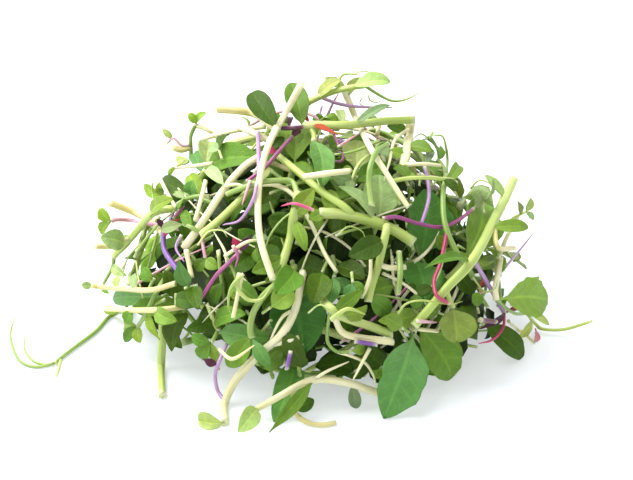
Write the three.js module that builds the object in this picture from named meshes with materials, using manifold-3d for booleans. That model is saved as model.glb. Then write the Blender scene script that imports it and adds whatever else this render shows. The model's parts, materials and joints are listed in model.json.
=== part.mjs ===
// A loose heap of cut mixed microgreens lying on a table: pea shoots with tendrils, sunflower,
// radish, mustard, amaranth and leafy sprouts. Millimetres, +Z up, origin on the table under the
// middle of the heap. Each shoot is one closed solid: its stems are tapered tubes, its leaves are
// thin blades, thickest along the midrib, sunk into the stem that they grow from.

import * as THREE from "three";
import { mergeVertices } from "three/addons/utils/BufferGeometryUtils.js";
import Module from "manifold-3d";

const wasm = await Module();
wasm.setup();

// ---------------------------------------------------------------- driving dimensions, mm
// Points within WELD of each other are one. A shoot has the colour of its first leaf that is wider
// than MAIN_LEAF.
const HALF_WIDTH = 76;
const HALF_DEPTH = 64;
const HEIGHT = 80;
const RIB = 1.3;
const LEAF_CLEARANCE = 0.05;
const ROOT_ROOM = 4.5;
const GAP = 0.35;
const STEP = 2;
const SEGMENT = 13;
const THICK_STEM = 2.7;
const THIN_STEM = 1.6;
const LEAF_REACH = 0.75;
const SKIN = 13;
const WELD = 1e-4;
const MAIN_LEAF = 5;
const ROUGHNESS = 0.5;

// The heap is described as seen by someone standing in front of it and looking down on it:
// u to the right, w up across the line of sight, and how far out of the mound a thing stands.
const LOOK_DOWN = THREE.MathUtils.degToRad(28);
const EYE = 600;
const AIM = 36;

const RIGHT = new THREE.Vector3(1, 0, 0);
const UP = new THREE.Vector3(0, Math.sin(LOOK_DOWN), Math.cos(LOOK_DOWN));
const TOWARDS = new THREE.Vector3(0, -Math.cos(LOOK_DOWN), Math.sin(LOOK_DOWN));
const MOUND = new THREE.Vector3(HALF_WIDTH, HALF_DEPTH, HEIGHT);

// ---------------------------------------------------------------- colours
const TONES = {
  cream: "#efe9cd",
  straw: "#dccf96",
  lime: "#b9cf72",
  green: "#6f9f45",
  rose: "#d98fae",
  magenta: "#b73f7f",
  mauve: "#c2a6c9",
  violet: "#7a49a8",
  bright: "#76a844",
  mid: "#4c8736",
  dark: "#2b5a24",
  blue: "#5a9c70",
  teal: "#3c7434",
  pale: "#a9cd84",
  bud: "#bccb67",
  ash: "#8fa58a",
  wine: "#54324a",
  rust: "#b9502c",
  hot: "#c72f68",
};

// ---------------------------------------------------------------- leaf forms
// rows: how far along the leaf, and half its width there as a share of its widest half width.
// arch: how far the midrib bows up, as a share of the length. cup: how far the edges rise, as a
// share of the half width. notch: how far a two-lobed tip is cut back. wave: ripple of the edges.
// columns: how many points across it has, 3 unless given. flat: lies on the table with a flat
// underside.
const FORMS = {
  oval: { rows: [[0, 0.16], [0.3, 0.86], [0.7, 0.86], [1, 0]], arch: 0.12, cup: 0.3 },
  small: { rows: [[0, 0.25], [0.5, 1], [1, 0]], arch: 0.1, cup: 0.25 },
  lance: { rows: [[0, 0.35], [0.5, 1], [1, 0]], arch: 0.14, cup: 0.35 },
  heart: { rows: [[0, 0.16], [0.45, 0.8], [0.85, 1], [1, 0.62]], arch: 0.12, cup: 0.3, notch: 0.3 },
  round: { rows: [[0, 0.14], [0.26, 0.82], [0.7, 0.95], [1, 0.34]], arch: 0.14, cup: 0.4 },
  broad: {
    rows: [[0, 0.09], [0.1, 0.12], [0.3, 0.88], [0.6, 0.97], [0.88, 0.5], [1, 0]],
    arch: 0.13,
    cup: 0.32,
    wave: 0.12,
    columns: 5,
  },
  toothed: {
    rows: [
      [0, 0.09], [0.12, 0.14], [0.24, 0.78], [0.3, 0.62], [0.46, 1], [0.52, 0.8],
      [0.68, 0.86], [0.74, 0.62], [0.86, 0.5], [1, 0],
    ],
    arch: 0.1,
    cup: 0.25,
    wave: 0.1,
  },
  pressed: { rows: [[0, 0.16], [0.3, 0.86], [0.7, 0.86], [1, 0]], arch: 0, cup: 0, flat: true },
};

// ---------------------------------------------------------------- the shoots, lowest first
// A shoot is a name and its limbs. A limb is where it grows from, as [limb, share along it] or []
// for a cut end, its colour, its thickness at both ends, its points [u, w, how far out], and its
// leaves [share along the limb, tip u, tip w, width, form, colour, turn about the midrib, how far
// out its tip].
const SHOOTS = [
  ["spinach_sprout_01", [
    [[], "green", 2, 1.6, [[-9, -8, -14], [-8, -13, -9], [-7, -17, -6]], [
      [1, -4, -42, 20, "broad", "teal", 0, 6], [0.6, -20, -26, 9, "oval", "dark"],
      [0.3, 4, -12, 10, "oval", "dark"]]],
    [[0, 1], "green", 1.6, 1.4, [[-8, -30, -12], [-8, -44, -10]], [
      [1, -16, -68, 10, "broad", "mid", 0, -2]]]]],
  ["spinach_sprout_02", [
    [[], "green", 2, 1.6, [[22, -12, -14], [30, -10, -9], [38, -7, -6]], [
      [1, 41, 19, 19, "broad", "teal", 0.2, 6], [0.9, 40, -23, 15, "broad", "teal", 0, 6],
      [0.2, 18, -8, 10, "oval", "dark"]]]]],
  ["rocket_sprout_02", [
    [[], "green", 2, 1.5, [[-46, -16, -12], [-52, -19, -8], [-57, -21, -6]], [
      [1, -74, -21.5, 7, "oval", "blue", 0, 3], [0.5, -60, -12, 6, "oval", "dark"]]]]],
  ["tendril_shoot_01", [
    [[], "green", 2, 1.5, [
      [-62, -24, -7], [-70, -26, -2], [-75, -28.5], [-82, -35], [-90, -41], [-97, -46.5]], [
      [0.3, -79, -26, 3.5, "small", "bright"]]],
    [[0, 1], "green", 1.3, 0.9, [
      [-104, -47.5, 1], [-110, -45, 2], [-113, -38, 3], [-113, -33, 5], [-111.5, -28.5, 6]], []],
    [[0, 1], "green", 1.2, 0.9, [[-101, -46.5, 2], [-105, -45, 4], [-108, -41, 5], [-108, -35.5, 6]], []],
    [[0, 0.93], "lime", 1.2, 0.9, [[-95.5, -48.5, 0], [-96.5, -51.5, 0]], []]]],
  ["pea_shoot_07", [
    [[], "lime", 3.2, 2.8, [[-50, -22, -9], [-56, -28, -3], [-57, -36], [-57.5, -48], [-57, -59]], [
      [0.12, -68, -25, 7, "oval", "mid"], [0.3, -50, -40, 6, "oval", "dark"]]]]],
  ["chard_sprout_01", [
    [[], "green", 2, 1.5, [[-36, 12, -12], [-42, 15, -8], [-46, 16, -6]], [
      [1, -59, 20.5, 7, "oval", "dark"], [0.8, -60, 12, 4.5, "lance", "dark"],
      [0.4, -47, 24, 6, "round", "bright"], [1, -46, 22, 6, "small", "blue"]]],
    [[0, 1], "green", 1.6, 1.3, [[-52, 17.5, -1], [-57, 16, 0]], [
      [1, -63.5, 20.5, 4.5, "small", "bright"], [1, -58, 21.5, 4, "small", "bright"]]],
    [[1, 1], "green", 1.1, 0.9, [[-60.5, 14, 1], [-61.5, 11.5, 2], [-60, 9.5, 3], [-58, 10.8, 4]], []]]],
  ["cress_sprout_01", [
    [[], "green", 1.8, 1.4, [[-56, -14, -7], [-59.5, -20], [-63, -27], [-66, -32]], [
      [1, -71.5, -31.5, 4.5, "small", "bright"], [1, -71, -37.5, 4.5, "small", "mid"],
      [1, -65.5, -38, 4.5, "small", "bright"], [0.6, -58, -37, 3.5, "lance", "bright"]]]]],
  ["rocket_sprout_01", [
    [[], "green", 2, 1.5, [[-42, -34, -14], [-48, -27, -9], [-51, -22, -7]], [
      [1, -58, -8, 9, "toothed", "dark"], [0.9, -48, -11, 8, "oval", "dark"],
      [0.5, -54, -40, 8, "oval", "dark"], [0.7, -63, -26, 8, "oval", "mid", 0.7, 3]]]]],
  ["radish_sprout_03", [
    [[], "green", 1.8, 1.5, [[-46.3, 30, -7], [-46.6, 35], [-46.4, 39], [-44.5, 43]], [
      [1, -47.2, 47, 3.4, "round", "bright"], [1, -41, 47.2, 3.6, "round", "bright"]]],
    [[0, 0.95], "cream", 1.6, 1.5, [[-40, 40.5, 1], [-36, 37, 1], [-31.5, 33, -2]], []],
    [[0, 0.3], "straw", 2.4, 2.4, [[-50, 33.3, 1], [-53.5, 34.5, 1]], []],
    [[0, 0.35], "rose", 1.3, 1.1, [[-50, 35, 1], [-53, 37.8, 1], [-55.5, 35.5, 1]], [
      [0.7, -57, 41, 2.6, "small", "pale"]]]]],
  ["sunflower_shoot_01", [
    [[], "lime", 2.4, 1.8, [[-42, 16, -14], [-43, 22, -8], [-41, 26, -5]], [
      [1, -21.5, 30.5, 11.5, "oval", "mid", 0, 3], [0.8, -46, 32.5, 5, "oval", "blue"],
      [1, -39, 37, 8, "round", "pale"]]]]],
  ["spinach_sprout_03", [
    [[], "green", 2, 1.5, [[-20, -2, -12], [-23, -5, -8]], [
      [1, -33, -12, 9, "oval", "dark"], [0.5, -14, -10, 8, "oval", "dark"],
      [1, -29, 4, 8, "oval", "mid"]]]]],
  ["pea_shoot_01", [
    [[], "lime", 2.6, 1.8, [[-10, 20, -12], [-9, 25, -7], [-8, 28, -4]], [
      [1, -8, 40.5, 12.5, "round", "bright"], [0.5, -2, 38, 8, "oval", "dark"],
      [0.2, -20, 14, 9, "oval", "dark"]]]]],
  ["mustard_sprout_01", [
    [[], "green", 1.8, 1.4, [[12, 18, -12], [14, 21, -7], [15, 24, -4]], [
      [1, 15.5, 37, 11, "toothed", "pale"], [0.6, 27, 28, 7, "oval", "mid"],
      [0.4, 4, 30, 8, "oval", "dark"]]]]],
  ["pea_shoot_02", [
    [[], "lime", 2.4, 1.8, [[18, -2, -12], [21, 3, -6], [23, 7, -3]], [
      [1, 23, 24.5, 13.5, "broad", "pale"], [0.5, 13, 2, 9, "oval", "dark"],
      [0.8, 34, 14, 8, "oval", "mid"]]],
    [[0, 0.6], "green", 1.6, 1, [
      [19.5, 10, 4], [20, 22, 6], [21, 31, 5], [23, 35.5, 4], [27, 36.5, 3]], []]]],
  ["pea_shoot_03", [
    [[], "lime", 2.4, 1.8, [[44, -18, -14], [51, -12, -5], [54, -8, 0]], [
      [1, 60, 15.5, 17, "broad", "bright", 0, 4], [0.6, 58, -20, 8, "oval", "dark"],
      [0.3, 38, -24, 9, "oval", "dark"]]],
    [[0, 0], "green", 1.6, 1.3, [[52, -26, -8], [62, -31, -5]], [
      [1, 77, -44, 9, "oval", "dark"]]]]],
  ["radish_sprout_01", [
    [[], "rose", 1.8, 1.4, [[-50, 4, -8], [-62, 6], [-68, 7.2], [-74, 7.5], [-76, 6.8]], [
      [1, -80, 12, 5, "round", "bright"], [1, -79.5, 2, 5.5, "round", "bright"]]],
    [[0, 0.15], "straw", 2.4, 2.6, [[-57, 3, 0], [-65, 9, 2], [-77, 14, 2]], []]]],
  ["pea_shoot_04", [
    [[], "lime", 3, 2.6, [[-52, 12, -7], [-61, 9.5], [-68, 1.5], [-75, -6]], [
      [0.35, -52, 15, 6, "oval", "bright"], [0.85, -68, 1.8, 7, "oval", "pale"],
      [0.8, -80, 1, 8, "oval", "pale"]]],
    [[0, 1], "green", 1.6, 1.2, [[-75.5, -10, 1], [-79, -16.5, 1]], [
      [0.5, -71, -13, 4, "small", "pale"], [1, -77, -20, 3.5, "small", "bright"]]],
    [[0, 0.7], "straw", 2, 2.2, [[-76, -2.3, 1], [-82, -2.3, 1]], []]]],
  ["pea_shoot_05", [
    [[], "straw", 2.2, 2, [[-52, -16, -6], [-61, -18.5], [-70, -18.2], [-79, -17.5], [-83, -17]], [
      [1, -87, -16.5, 3, "small", "bud"], [0.4, -68, -12.5, 4, "small", "pale"],
      [0.6, -73, -13, 4, "small", "pale"]]]]],
  ["pea_shoot_06", [
    [[], "straw", 2.2, 2, [[-46, -24, -8], [-55, -25.5], [-65, -26], [-78, -25.5]], [
      [0.5, -52, -30, 6, "oval", "bright"], [0.75, -70, -31, 5, "small", "mid"]]]]],
  ["amaranth_sprout_01", [
    [[], "violet", 1.8, 2, [[-56.5, 4], [-56.5, -3], [-53, -9], [-49.5, -13.5], [-46, -17, -4]], [
      [0, -60, 9, 3, "lance", "wine"], [0.1, -51, 8, 3, "lance", "hot"]]]]],
  ["radish_sprout_02", [
    [[], "rose", 1.5, 1.3, [[-44, 9, -8], [-42.5, 3, -3], [-42, -2], [-41, -7]], [
      [1, -44.5, -11.5, 4.6, "small", "mid"], [1, -36.5, -10.5, 4.6, "small", "bright"]]]]],
  ["sunflower_shoot_02", [
    [[], "cream", 3, 2.6, [[-49, -3], [-44, 4], [-40, 10], [-34, 19], [-27, 27], [-20, 31.5], [-17, 33]], [
      [1, -12, 38, 4, "oval", "dark"]]]]],
  ["sunflower_shoot_03", [
    [[], "lime", 3, 2.8, [[-43, 1.5], [-38, 5.5], [-33, 10], [-28, 15], [-23, 20.5]], [
      [0.95, -17, 27, 5, "oval", "pale"]]],
    [[0, 0.05], "green", 1.6, 1.3, [[-47, 5, 1], [-49, 5.8, 1]], [
      [1, -58, 3.5, 4.5, "lance", "pale"], [0.4, -49, 11, 4, "small", "mid"]]],
    [[0, 1], "cream", 1.8, 1.4, [[-15, 20.3, 1], [-8, 16], [-2, 6], [3, -5], [7.5, -12]], []],
    [[0, 0.9], "cream", 1.4, 1.3, [[-29, 20.4, 1], [-34, 20, 0]], [
      [1, -41, 26.5, 4.5, "small", "pale"]]]]],
  ["sunflower_shoot_04", [
    [[], "lime", 3.2, 2.8, [[-7, 17, -4], [-7.5, 13], [-9, 6], [-10, 0], [-14, -13], [-16, -19, -4]], [
      [0.3, -1, 19, 7, "oval", "bright"], [0.35, -4, -4, 4.5, "oval", "bright"],
      [0.7, -24, -12, 6, "oval", "mid"]]],
    [[0, 0], "green", 2.2, 2, [
      [-9, 21.5, 1], [-14, 22, 1], [-20, 21.5, 1], [-28, 19, 0], [-33, 17, -3]], []]]],
  ["mustard_sprout_02", [
    [[], "green", 1.6, 1.4, [[6, -6, -12], [7, -11, -7], [6.5, -14, -4]], [
      [1, 5, -23.5, 5.5, "oval", "blue"], [1, 13, -20, 5.5, "oval", "blue"],
      [0.4, -3, -13, 7, "oval", "dark"], [0.4, 18, -15, 8, "oval", "dark"]]]]],
  ["pea_shoot_10", [
    [[], "lime", 2, 1.7, [[-40, -24, -12], [-38, -30, -7], [-36, -34, -3]], [
      [1, -17.5, -36.5, 8.5, "oval", "blue"], [0.6, -27, -27, 7, "oval", "mid"],
      [0.5, -48, -33, 5, "oval", "dark"]]],
    [[0, 0.9], "green", 1.4, 1.2, [[-38, -36.5, -1], [-39, -38, 0]], [
      [1, -46.2, -35.3, 4.6, "round", "mid"], [1, -43, -44, 5.5, "round", "mid"],
      [1, -36.5, -45, 4, "small", "bright"]]]]],
  ["pea_shoot_09", [
    [[], "green", 2.4, 2.2, [[-8, -10, -7], [-12, -14], [-19, -20], [-23, -26], [-24.5, -32], [-24, -36]], [
      [1, -16.5, -48, 5, "lance", "blue"], [0.05, -16, -21, 9, "round", "mid", -0.2, 6],
      [0.5, -31, -15, 6, "oval", "mid"], [0.97, -33, -47, 7.5, "oval", "mid"]]],
    [[0, 0.5], "cream", 1.4, 1.2, [[-25, -17, 1], [-28, -13, 1]], []]]],
  ["sunflower_shoot_05", [
    [[], "cream", 2.6, 3, [
      [-5, -12, -6], [-6, -17], [-8, -26], [-13, -35], [-22, -43], [-30, -52], [-34, -62], [-34, -69]], [
      [1, -43.8, -66.5, 9, "round", "bud"], [0.4, -5, -47, 7, "oval", "dark"]]],
    [[0, 0.28], "cream", 1.4, 1.2, [[-13, -29, 1], [-18, -39, 1]], []],
    [[0, 0.5], "cream", 1.8, 1.8, [[-10, -37.3, 1], [-6.5, -36, 1]], []],
    [[0, 0.84], "mauve", 1.5, 1.4, [[-36.5, -56, 1], [-37.5, -50, 1], [-36, -45, 0], [-33, -38, -6]], [
      [0.7, -42, -44, 3, "lance", "wine"]]]]],
  ["sunflower_shoot_06", [
    [[], "cream", 3, 2.2, [
      [24, -57], [18, -55], [12, -53], [2, -51.5], [-5, -53], [-14, -58], [-22, -62.5]], [
      [1, -29.5, -71.5, 7, "oval", "bud"], [0.58, -17, -71, 5, "lance", "mid", 0.5, 1],
      [0.3, 15, -62.5, 4.5, "oval", "ash"]]],
    [[0, 0.6], "cream", 1.2, 1.1, [[4, -48.5, 1], [12, -45, 0]], []],
    [[0, 0.72], "straw", 1.9, 1.8, [
      [-9, -61, 1], [-7, -65, 1], [-3, -68.5, 1], [2, -69.3, 1], [7, -68.5, 1]], [
      [0.3, -1, -59, 5, "small", "dark"]]]]],
  ["pea_shoot_11", [
    [[], "lime", 3, 3, [[2, -22, -9], [6, -26, -3], [11, -29], [20, -32], [28, -35]], [
      [0.4, 19, -24.5, 6, "oval", "bright", 0.7], [0.3, 17, -18.5, 5, "oval", "mid"]]],
    [[0, 0.2], "green", 1.5, 1.2, [[4, -34, 1], [4.5, -38.5, 2], [8, -41.5, 3], [13, -41, 3]], [
      [1, 18, -39.5, 4, "small", "bright"]]],
    [[0, 0.25], "cream", 2.4, 2.6, [[9, -33.5, 2], [15, -36, 3], [28, -37.6, 3]], []],
    [[1, 0.75], "cream", 1.3, 1.2, [[13, -43, 2], [18, -45.5, 1], [21, -50, 1], [22, -54, 1]], []]]],
  ["lettuce_leaf_01", [
    [[], "lime", 2.6, 2, [[36, -22, -12], [37, -29, -7], [36, -34, -3]], [
      [1, 24.5, -66, 18, "broad", "blue", -0.2, 2], [0.7, 51, -52, 14, "broad", "mid"],
      [0.4, 24, -30, 7, "oval", "bright"]]]]],
  ["pea_shoot_12", [
    [[], "lime", 3.4, 3.8, [[1, 10], [7, 9.8], [12, 9], [20, 7], [28, 4], [36, -1]], [
      [0.05, -7, 6, 8, "oval", "bright"], [0.15, 5, 18.5, 6, "oval", "bright"],
      [0.64, 8.2, 20.1, 6.5, "oval", "pale", 0.7, 3]]],
    [[0, 0.45], "lime", 2.9, 2.4, [
      [10, 12.5, 2], [3, 17, 2], [-3, 22, 1], [-9, 27, 0], [-14, 31, -3]], []]]],
  ["mustard_sprout_03", [
    [[], "lime", 2.8, 2.6, [[26, 5, -3], [25.5, 2], [23, -9], [20.5, -17], [19, -23]], [
      [0.9, 27, -27, 7, "oval", "mid"], [0.3, 12, -6, 8, "oval", "dark"]]],
    [[0, 0.5], "cream", 2, 2, [[27, -10.3, 2], [33, -10, 2]], []]]],
  ["amaranth_sprout_03", [
    [[], "magenta", 1.5, 1.4, [[-9, 38, -2], [-12, 35], [-18, 28], [-22, 24.5], [-26, 21.5]], [
      [0.35, -20, 33, 3.2, "lance", "hot"], [0, -6, 41, 3, "small", "wine"]]]]],
  ["amaranth_sprout_04", [
    [[], "magenta", 1.6, 1.5, [[-28, -4, -2], [-32, -8], [-37, -13], [-41, -19], [-44, -23.5]], [
      [0.02, -24, 2, 3, "lance", "wine"], [0, -31, 1, 3, "lance", "hot"]]],
    [[0, 0.3], "cream", 1.3, 1.2, [[-34, -4, 1], [-38, 3, 1]], []]]],
  ["pea_shoot_13", [
    [[], "lime", 3.6, 3.2, [[73, 23], [69.5, 15], [66, 8], [58, -7], [48, -18], [36, -32]], [
      [0.2, 62, 24, 4.5, "oval", "bud"], [0.45, 79, 5, 5, "oval", "bright"],
      [0.62, 40, -10, 5, "lance", "mid", 0.8]]],
    [[0, 0.4], "straw", 2, 2, [[67, -2.5, 5], [73, -3, 5]], []],
    [[0, 0.8], "lime", 1.8, 1.7, [[50.5, -25, 1]], [
      [1, 52, -38, 14, "round", "lime", 0, 7]]]]],
  ["amaranth_sprout_05", [
    [[], "magenta", 1.5, 1.4, [
      [24.5, 8], [30, 8.4], [38, 6], [46, 4.8], [52, 7], [58, 11.5]], [
      [1, 68, 7, 4, "small", "ash"], [1, 60, 18, 4, "small", "ash"]]],
    [[0, 0.42], "mauve", 1.5, 1.4, [[41.3, 14, 2], [41.5, 20, 2], [40, 27, 1]], [
      [1, 42, 33, 3.4, "small", "ash"]]]]],
  ["pea_shoot_14", [
    [[], "green", 2, 2.2, [[48, 24], [46.8, 16], [47.5, 6], [51, -3], [55, -9], [58, -14, -4]], [
      [0.1, 53, 28, 4.5, "oval", "bright"], [0.6, 66, -8, 5, "lance", "bright", 0.6]]],
    [[0, 0], "green", 1.3, 1, [[48.5, 29, 1], [48, 34, 2], [46.5, 38.5, 2], [42.5, 38.5, 3]], []],
    [[0, 0.45], "magenta", 1.5, 1.4, [[46, -8, 1], [43.5, -15, 1], [44.5, -20.5, 1], [49, -23.5, 1]], []],
    [[0, 0.03], "green", 1.6, 1.4, [[47, 27, 2], [45, 29.5, 3]], [
      [1, 40, 37.5, 6, "oval", "mid", 0.7, -3], [1, 46, 35, 3.6, "oval", "bright"]]]]],
  ["amaranth_sprout_07", [
    [[], "mauve", 1.8, 1.6, [[58, -7, -2], [60, -10.5], [65, -19], [69.5, -27]], [
      [1, 74, -23, 3, "lance", "hot"], [1, 60, -33, 2.6, "lance", "wine"]]],
    [[0, 1], "magenta", 1.2, 1.1, [[69, -32.5, 1], [65, -37, 1], [60, -38.3, 0]], []]]],
  ["shiso_sprout_01", [
    [[], "cream", 2.4, 2.2, [[68, -7, -3], [67.3, -12], [66.2, -18], [66.5, -22]], [
      [1, 84.5, -22.5, 15, "toothed", "bright"]]],
    [[0, 1], "green", 1.4, 1.3, [[73, -27, 0], [79, -27, 1]], [
      [1, 86, -31.5, 3, "small", "bud"]]],
    [[1, 0.9], "lime", 1.4, 1.3, [[81, -31, 0], [84, -33, 0], [92, -33, 0], [102, -30, 1]], [
      [0.15, 75, -36.5, 4, "small", "bud"]]]]],
  ["cress_sprout_04", [
    [[], "cream", 3.6, 3.2, [[35, 44], [34, 38], [33, 31], [31, 24, -5]], [
      [0.3, 26, 42, 6, "oval", "dark"], [0.5, 43, 33, 6, "oval", "bright", 0, 3],
      [0.7, 27, 33, 4.5, "small", "bright"]]],
    [[0, 0.15], "cream", 1.4, 1.2, [[29, 37, 1], [27, 29, 1], [25, 22, 0]], []]]],
  ["sunflower_shoot_07", [
    [[], "cream", 2.6, 2, [[10, 56], [12.5, 50], [15, 44], [20, 34], [25, 26], [30, 18], [34, 12]], [
      [0.05, 3, 60, 4.5, "oval", "bud"], [0.08, 17, 60, 4.5, "oval", "pale"]]]]],
  ["pea_shoot_15", [
    [[], "lime", 3, 3, [[-5, 42, -4], [0, 42.6], [10, 42.5], [18, 43.2], [25, 44], [36, 44.5]], [
      [0.5, 27, 50.5, 3.5, "oval", "ash"], [0.4, 8, 48.5, 3.5, "small", "pale"],
      [0, -9.5, 58, 8.5, "oval", "mid", 0, -4], [0.12, -8, 46.5, 2.4, "lance", "rust"],
      [0.14, 8, 38.5, 2.4, "lance", "rust"]]],
    [[0, 0.1], "lime", 2, 1.8, [[-1, 39, 0], [-1, 36.5, 0]], [
      [1, 2, 19.5, 9, "oval", "blue", -0.4]]]]],
  ["sunflower_shoot_08", [
    [[], "cream", 2.5, 2.4, [
      [-5.5, 58, 9], [-12, 46, 4], [-17, 37], [-20, 28], [-21.5, 18], [-21.5, 6], [-20, -3],
      [-16, -15]], [
      [0.22, -24.2, 55.5, 8.5, "oval", "dark"]]],
    [[0, 0.22], "straw", 3, 3.2, [[-22, 46.5, 0], [-30, 48, -2], [-37, 48.5, -4]], []]]],
  ["pea_shoot_16", [
    [[], "lime", 2.6, 1.8, [[-6, 47, -5], [-3, 51], [5, 54.5], [12, 56.3], [18, 57]], [
      [0.35, 9, 59.5, 5.5, "oval", "bud", 0, 1], [0.8, 27.3, 59, 7, "round", "bud"]]],
    [[0, 1], "green", 1.2, 0.9, [[23, 53.8, 1], [28, 51.5, 2], [33, 52, 2], [38, 54.5, 2]], []],
    [[0, 0.6], "green", 1.1, 0.9, [[9, 60.5, 1], [12, 61.5, 1], [16, 61, 2]], []]]],
];

// ---------------------------------------------------------------- places
// The point seen at u, w on the near side of the mound, or on the table where the line of sight
// meets that first, moved out but never below the table, and the way along which things there
// are lifted clear of each other.
function seat(u, w, out) {
  const across = RIGHT.clone().multiplyScalar(u).addScaledVector(UP, w);
  const way = TOWARDS.clone().addScaledVector(across, -1 / EYE);
  const start = across.add(new THREE.Vector3(0, 0, AIM));
  const a = start.clone().divide(MOUND);
  const b = way.clone().divide(MOUND);
  const half = a.dot(b);
  const room = half * half - b.dot(b) * (a.dot(a) - 1);
  const onMound = (-half + Math.sqrt(Math.max(room, 0))) / b.dot(b);
  const onTable = -start.z / way.z;
  const far = Math.max(Math.max(onMound, onTable) + out, onTable);
  return { at: start.addScaledVector(way, far), way };
}

function outwards(point) {
  return point.clone().divide(MOUND).divide(MOUND).normalize();
}

// ---------------------------------------------------------------- room between shoots
const CELL = 8;
const CELLS = 128;
const taken = new Map();

// One number for the cell at i, j, k of a cube of cells about the origin.
function cellKey(i, j, k) {
  return [i, j, k].reduce((key, n) => key * CELLS + n + CELLS / 2, 0);
}

function take(marks) {
  for (const mark of marks) {
    const key = cellKey(
      Math.floor(mark.at.x / CELL),
      Math.floor(mark.at.y / CELL),
      Math.floor(mark.at.z / CELL),
    );
    if (!taken.has(key)) taken.set(key, []);
    taken.get(key).push(mark);
  }
}

function isFree(mark) {
  const i = Math.floor(mark.at.x / CELL);
  const j = Math.floor(mark.at.y / CELL);
  const k = Math.floor(mark.at.z / CELL);
  for (let di = -1; di <= 1; di += 1)
    for (let dj = -1; dj <= 1; dj += 1)
      for (let dk = -1; dk <= 1; dk += 1)
        for (const other of taken.get(cellKey(i + di, j + dj, k + dk)) ?? [])
          if (other.at.distanceTo(mark.at) < other.reach + mark.reach + GAP) return false;
  return true;
}

// Whether a leaf's mark also stays clear of its own shoot, away from where the leaf is rooted.
function isFreeOf(own, root, mark) {
  if (mark.at.distanceTo(root) < ROOT_ROOM) return true;
  return own.every((other) => other.at.distanceTo(mark.at) >= other.reach + mark.reach);
}

// Marks along the straight pieces of a path, closer together than STEP.
function marksAlong(path, reaches) {
  const marks = [];
  for (let i = 0; i + 1 < path.length; i += 1) {
    const count = Math.ceil(path[i].distanceTo(path[i + 1]) / STEP);
    for (let k = 0; k < count; k += 1) {
      const share = k / count;
      marks.push({
        at: path[i].clone().lerp(path[i + 1], share),
        reach: reaches[i] + (reaches[i + 1] - reaches[i]) * share,
        spot: i + share,
      });
    }
  }
  const last = path.length - 1;
  marks.push({ at: path[last].clone(), reach: reaches[last], spot: last });
  return marks;
}

// Marks all over a leaf's grid of points.
function marksOver(grid) {
  const marks = [];
  for (let r = 0; r + 1 < grid.length; r += 1)
    for (let c = 0; c + 1 < grid[r].length; c += 1) {
      const [a, b] = [grid[r][c], grid[r][c + 1]];
      const [d, e] = [grid[r + 1][c], grid[r + 1][c + 1]];
      const along = Math.ceil(Math.max(a.distanceTo(d), b.distanceTo(e)) / STEP) || 1;
      const across = Math.ceil(Math.max(a.distanceTo(b), d.distanceTo(e)) / STEP) || 1;
      for (let i = 0; i <= along; i += 1)
        for (let j = 0; j <= across; j += 1) {
          const near = a.clone().lerp(b, j / across);
          const far = d.clone().lerp(e, j / across);
          marks.push({ at: near.lerp(far, i / along), reach: LEAF_REACH });
        }
    }
  return marks;
}

// ---------------------------------------------------------------- stems
// A limb's path through its spots, each lifted along its own way. Lifts grow where the path is
// blocked by another shoot, so that it bends over what lies under it.
const LIFT = 1;
const MOST_LIFTS = 60;
const HIGHEST_MAIN = 30;
const HIGHEST_SIDE = 12;
const TENSION = 0.5;
const UPRIGHT = 0.9;

function pathThrough(spots, lifts, radius) {
  const points = spots.map((spot, k) => spot.at.clone().addScaledVector(spot.way, lifts[k]));
  for (const point of points) point.z = Math.max(point.z, radius);
  const curve = new THREE.CatmullRomCurve3(points, false, "catmullrom", TENSION);
  let length = 0;
  for (let k = 0; k + 1 < points.length; k += 1) length += points[k].distanceTo(points[k + 1]);
  const steps = Math.max(points.length - 1, Math.ceil(length / SEGMENT));
  const path = curve.getPoints(steps);
  for (const point of path) point.z = Math.max(point.z, radius);
  return path;
}

function settle(spots, radiusAt, fixedRoot) {
  const lifts = spots.map(() => 0);
  const radius = Math.max(radiusAt(0), radiusAt(1));
  const highest = fixedRoot ? HIGHEST_SIDE : HIGHEST_MAIN;
  for (let round = 0; round < MOST_LIFTS; round += 1) {
    const path = pathThrough(spots, lifts, radius);
    const steps = path.length - 1;
    const reaches = path.map((_, i) => radiusAt(i / steps));
    const marks = marksAlong(path, reaches);
    const raised = new Set();
    for (const mark of marks)
      if (!isFree(mark)) raised.add(Math.floor((mark.spot / steps) * (spots.length - 1) + 0.5));
    if (raised.size === 0) return { path, reaches, marks, lifts };
    for (const k of raised)
      for (const near of [k - 1, k, k + 1])
        if (near >= (fixedRoot ? 1 : 0) && near < spots.length)
          lifts[near] += near === k ? LIFT : LIFT / 2;
    if (Math.max(...lifts) > highest) return null;
  }
  return null;
}

function alongPath(path, share) {
  const place = share * (path.length - 1);
  const i = Math.min(Math.floor(place), path.length - 2);
  return path[i].clone().lerp(path[i + 1], place - i);
}

function sidesOf(thickness) {
  if (thickness > THICK_STEM) return 5;
  return thickness > THIN_STEM ? 4 : 3;
}

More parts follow.
